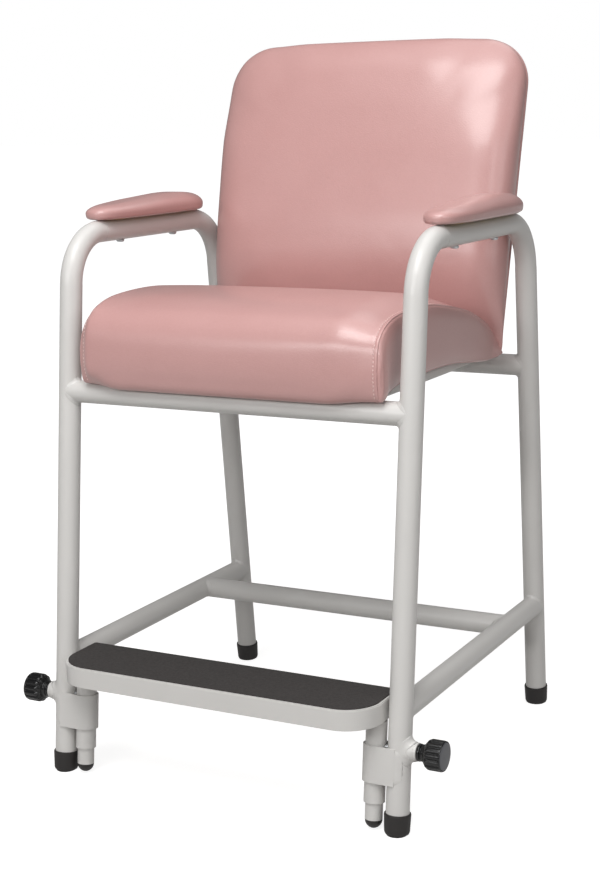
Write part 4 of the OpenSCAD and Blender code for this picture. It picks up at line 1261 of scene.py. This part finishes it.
# Radius and place along X, in millimetres, of the knob from its bore over the ringed neck to the
# recess that holds its cap, of that cap, and of the bush that the screw runs in
KNOB = ((4.3, 291.2), (9.6, 291.0), (11.7, 291.3), (11.8, 294.6), (9.9, 295.4), (9.9, 296.4),
        (11.6, 297.2), (11.7, 300.4), (14.6, 301.6), (19.4, 305.4), (20.4, 308), (20.4, 325.6),
        (19.7, 327.2), (18.9, 327.4), (18.4, 326.2), (0, 326.2))
KNOB_CAP = ((0, 326.0), (17.9, 326.0), (18.3, 327.5), (15.5, 328.3), (0, 328.9))
BUSH = ((4.2, 268), (13.1, 268), (13.1, 286.2), (12.5, 287.0), (12.5, 290.0), (11.9, 290.5),
        (4.2, 290.5), (4.2, 268))
# Rounding of their edges, in millimetres, points round the cap and the bush, and the depth of the
# knob's bore
KNOB_ROUND, CAP_ROUND, BUSH_ROUND, CLAMP_SIDES, BORE = 0.9, 0.7, 0.35, 64, 0.030
# Flutes: points across one, where they rise from the neck along X and by radius, where they fade at
# the rim and where the recess begins
FLUTE_POINTS, FLUTE_NECK, FLUTE_RADIUS = 14, (0.2995, 0.3040), (0.0150, 0.0185)
FLUTE_RIM, RECESS = (0.3250, 0.3268), 0.3272


def turned(profile, sides, centre, side):
    """Points turned about the screw's axis: the profile is radius and place along X."""
    a = np.linspace(0, 2 * math.pi, sides, endpoint=False)[None, :]
    radius, x = profile[:, :1], profile[:, 1:]
    return np.stack([np.broadcast_to(side * x, (len(profile), sides)),
                     centre[0] + radius * np.cos(a), centre[1] + radius * np.sin(a)], -1)


class HIPCHAIR_OT_clamps(bpy.types.Operator):
    """Builds each side's fluted knob with its cap, and the bush welded to the leg"""
    bl_idname = "hipchair.clamps"
    bl_label = "Clamp knobs and bushes"

    def execute(self, context):
        size = context.scene.hip_metal
        centre = np.array([size.screw_y, size.screw_z])
        profile, sides = rounded(KNOB, KNOB_ROUND), size.flutes * FLUTE_POINTS
        radius, x = profile[:, :1], profile[:, 1:]
        # Flutes: radius - depth * |cos(n a / 2)|^5, fading out on the neck and at the rim
        a = np.linspace(0, 2 * math.pi, sides, endpoint=False)[None, :]
        depth = (size.flute_depth * smooth(x, *FLUTE_NECK) * smooth(radius, *FLUTE_RADIUS)
                 * (1 - smooth(x, *FLUTE_RIM)) * (x < RECESS))
        cut = 1 - depth / np.maximum(radius, MM) * np.abs(np.cos(size.flutes * a / 2)) ** 5
        bore = np.array([[0, x[0, 0] + BORE], [radius[0, 0], x[0, 0] + BORE], profile[0]])
        for name, side in SIDES:
            grip = turned(profile, sides, centre, side)
            grip[..., 1:] = centre + (grip[..., 1:] - centre) * cut[..., None]
            body = np.concatenate([turned(bore, sides, centre, side), grip[1:]], 0)
            knob = mesh_of(f"{name}_knob_grip", [grid(body, wrap_cols=True)])
            wear(knob, knob_plastic(), "knob_plastic", f"{name}_screw")
            cap = turned(rounded(KNOB_CAP, CAP_ROUND), CLAMP_SIDES, centre, side)
            wear(mesh_of(f"{name}_knob_cap", [grid(cap, wrap_cols=True)]), cap_plastic(),
                 "knob_plastic", f"{name}_screw")
            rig.replaces(knob, f"{name}_knob")
            ring = turned(rounded(BUSH, BUSH_ROUND), CLAMP_SIDES, centre, side)
            corners, faces = weld(*leg_line(size, True), size.tube_r,
                                  np.array([size.half, *centre]), RIGHT, size.bush_r,
                                  size.bush_weld, BUSH_FULL)
            bush = mesh_of(f"{name}_welded_bush", [grid(ring, wrap_cols=True),
                                                   (corners * np.array([side, 1, 1]), faces)])
            wear(bush, powder_coat(), "powder_coat", "frame")
            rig.replaces(bush, f"{name}_clamp_bush")
        return {"FINISHED"}


class HIPCHAIR_OT_finishes(bpy.types.Operator):
    """Gives each part of the frame its finish"""
    bl_idname = "hipchair.finishes"
    bl_label = "Finishes"

    def execute(self, context):
        slots = {s["node"]: s["material_slot"] for s in frame["record"]["subparts"]}
        for name, node in frame["nodes"].items():
            node.data.materials.clear()
            node.data.materials.append(FINISHES[slots[name]]())
        return {"FINISHED"}


# --------------------------------------------------------------------- stage

# Each lamp's name, place, width and height in metres, and the property with its power. All of them
# look at one place in the chair.
LAMPS = (("key", (0.2, -1.5, 2.9), 1.6, 1.6, "key"),
         ("front", (-0.35, -2.7, 1.45), 1.8, 0.5, "front"),
         ("top", (0.2, -0.1, 2.9), 2.0, 2.0, "top"),
         ("side", (2.0, -2.0, 1.9), 0.6, 1.6, "side"),
         ("right", (2.6, -0.9, 1.5), 1.2, 1.6, "side"),
         ("rear", (0.3, 1.5, 2.8), 1.4, 1.4, "rear"))
LOOK = Vector((0, 0, 0.6))
# The photograph's crop, as shares of the sensor, and the floor's half width and its place under the
# feet
SHIFT_X, SHIFT_Y = -0.0037, 0.0273
FLOOR_HALF, FLOOR_Z = 40, -0.0002
WHITE = (1, 1, 1, 1)


def camera_turn(stage):
    """Turn and place of the camera: its axes are right, up and back, turned by the roll."""
    a, e, roll = stage.azimuth, stage.elevation, stage.roll
    back = np.array([math.sin(a) * math.cos(e), -math.cos(a) * math.cos(e), math.sin(e)])
    right = unit(np.cross(-back, [0, 0, 1]))
    down = np.cross(-back, right)
    c, s = math.cos(roll), math.sin(roll)
    right, down = c * right - s * down, s * right + c * down
    place = Matrix(np.column_stack([right, -down, back]).tolist()).to_4x4()
    place.translation = stage.place
    return place


def in_scene(name, data, place):
    """A new object in the scene, turned and placed."""
    holder = bpy.data.objects.new(name, data)
    bpy.context.scene.collection.objects.link(holder)
    holder.matrix_world = place
    return holder


class HIPCHAIR_OT_stage(bpy.types.Operator):
    """Sets the pale floor, the soft studio light and the camera at the photograph's angle"""
    bl_idname = "hipchair.stage"
    bl_label = "Stage"

    def execute(self, context):
        scene, stage = context.scene, context.scene.hip_stage
        scene.view_settings.view_transform = "Standard"
        lens = bpy.data.cameras.new("camera")
        lens.lens, lens.shift_x, lens.shift_y = stage.lens, SHIFT_X, SHIFT_Y
        scene.camera = in_scene("camera", lens, camera_turn(stage))
        side = np.linspace(-FLOOR_HALF, FLOOR_HALF, 3)
        floor = mesh_of("floor", [grid(raised(np.stack(np.meshgrid(side, side), -1), FLOOR_Z))])
        floor.data.materials.append(studio_paper())
        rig.stage(floor)
        # World: white to the camera and through clear parts, softer as light
        scene.world = bpy.data.worlds.new("studio")
        scene.world.use_nodes = True
        tree = scene.world.node_tree
        ray = add(tree, "ShaderNodeLightPath")
        seen = math_of(tree, "MAXIMUM", ray.outputs["Is Camera Ray"],
                       ray.outputs["Is Transmission Ray"])
        plug(tree, tree.nodes["Background"], Strength=spread(tree, seen, stage.sky, 1.0),
             Color=WHITE)
        for name, spot, wide, tall, power in LAMPS:
            lamp = bpy.data.lights.new(name, "AREA")
            lamp.shape, lamp.size, lamp.size_y = "RECTANGLE", wide, tall
            lamp.energy = getattr(stage, power)
            turn = (Vector(spot) - LOOK).to_track_quat("Z", "Y").to_matrix().to_4x4()
            in_scene(name, lamp, Matrix.Translation(spot) @ turn)
        return {"FINISHED"}


# -------------------------------------------------------------------- add-on

PIECES = (HIPCHAIR_OT_seat, HIPCHAIR_OT_back, HIPCHAIR_OT_arm_pads, HIPCHAIR_OT_welds,
          HIPCHAIR_OT_clamps, HIPCHAIR_OT_finishes, HIPCHAIR_OT_stage)
GROUPS = {"hip_seat": HipChairSeatSizes, "hip_back": HipChairBackSizes,
          "hip_arms": HipChairArmSizes, "hip_metal": HipChairMetalSizes,
          "hip_colours": HipChairColours, "hip_stage": HipChairStage}


class HIPCHAIR_PT_panel(bpy.types.Panel):
    """Lists the chair's pieces and their sizes"""
    bl_idname = "HIPCHAIR_PT_panel"
    bl_label = "Hip Chair"
    bl_space_type = "VIEW_3D"
    bl_region_type = "UI"
    bl_category = "Hip Chair"

    def draw(self, context):
        for kind in PIECES:
            self.layout.operator(kind.bl_idname, text=kind.bl_label)
        for group, kind in GROUPS.items():
            box = self.layout.box()
            box.label(text=kind.__doc__)
            for name in kind.__annotations__:
                box.prop(getattr(context.scene, group), name)


def register():
    for group, kind in GROUPS.items():
        bpy.utils.register_class(kind)
        setattr(bpy.types.Scene, group, PointerProperty(type=kind))
    for kind in PIECES + (HIPCHAIR_PT_panel,):
        bpy.utils.register_class(kind)


def unregister():
    for kind in (HIPCHAIR_PT_panel,) + PIECES[::-1]:
        bpy.utils.unregister_class(kind)
    for group, kind in GROUPS.items():
        delattr(bpy.types.Scene, group)
        bpy.utils.unregister_class(kind)


def main():
    """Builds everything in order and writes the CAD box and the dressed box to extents.json."""
    register()
    for kind in PIECES:
        group, name = kind.bl_idname.split(".")
        getattr(getattr(bpy.ops, group), name)()
    with open("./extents.json", "w") as out:
        json.dump({"cad": CAD_BOX, "visual": [list(corner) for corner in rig.bounds()]}, out)


if __name__ == "__main__":
    main()
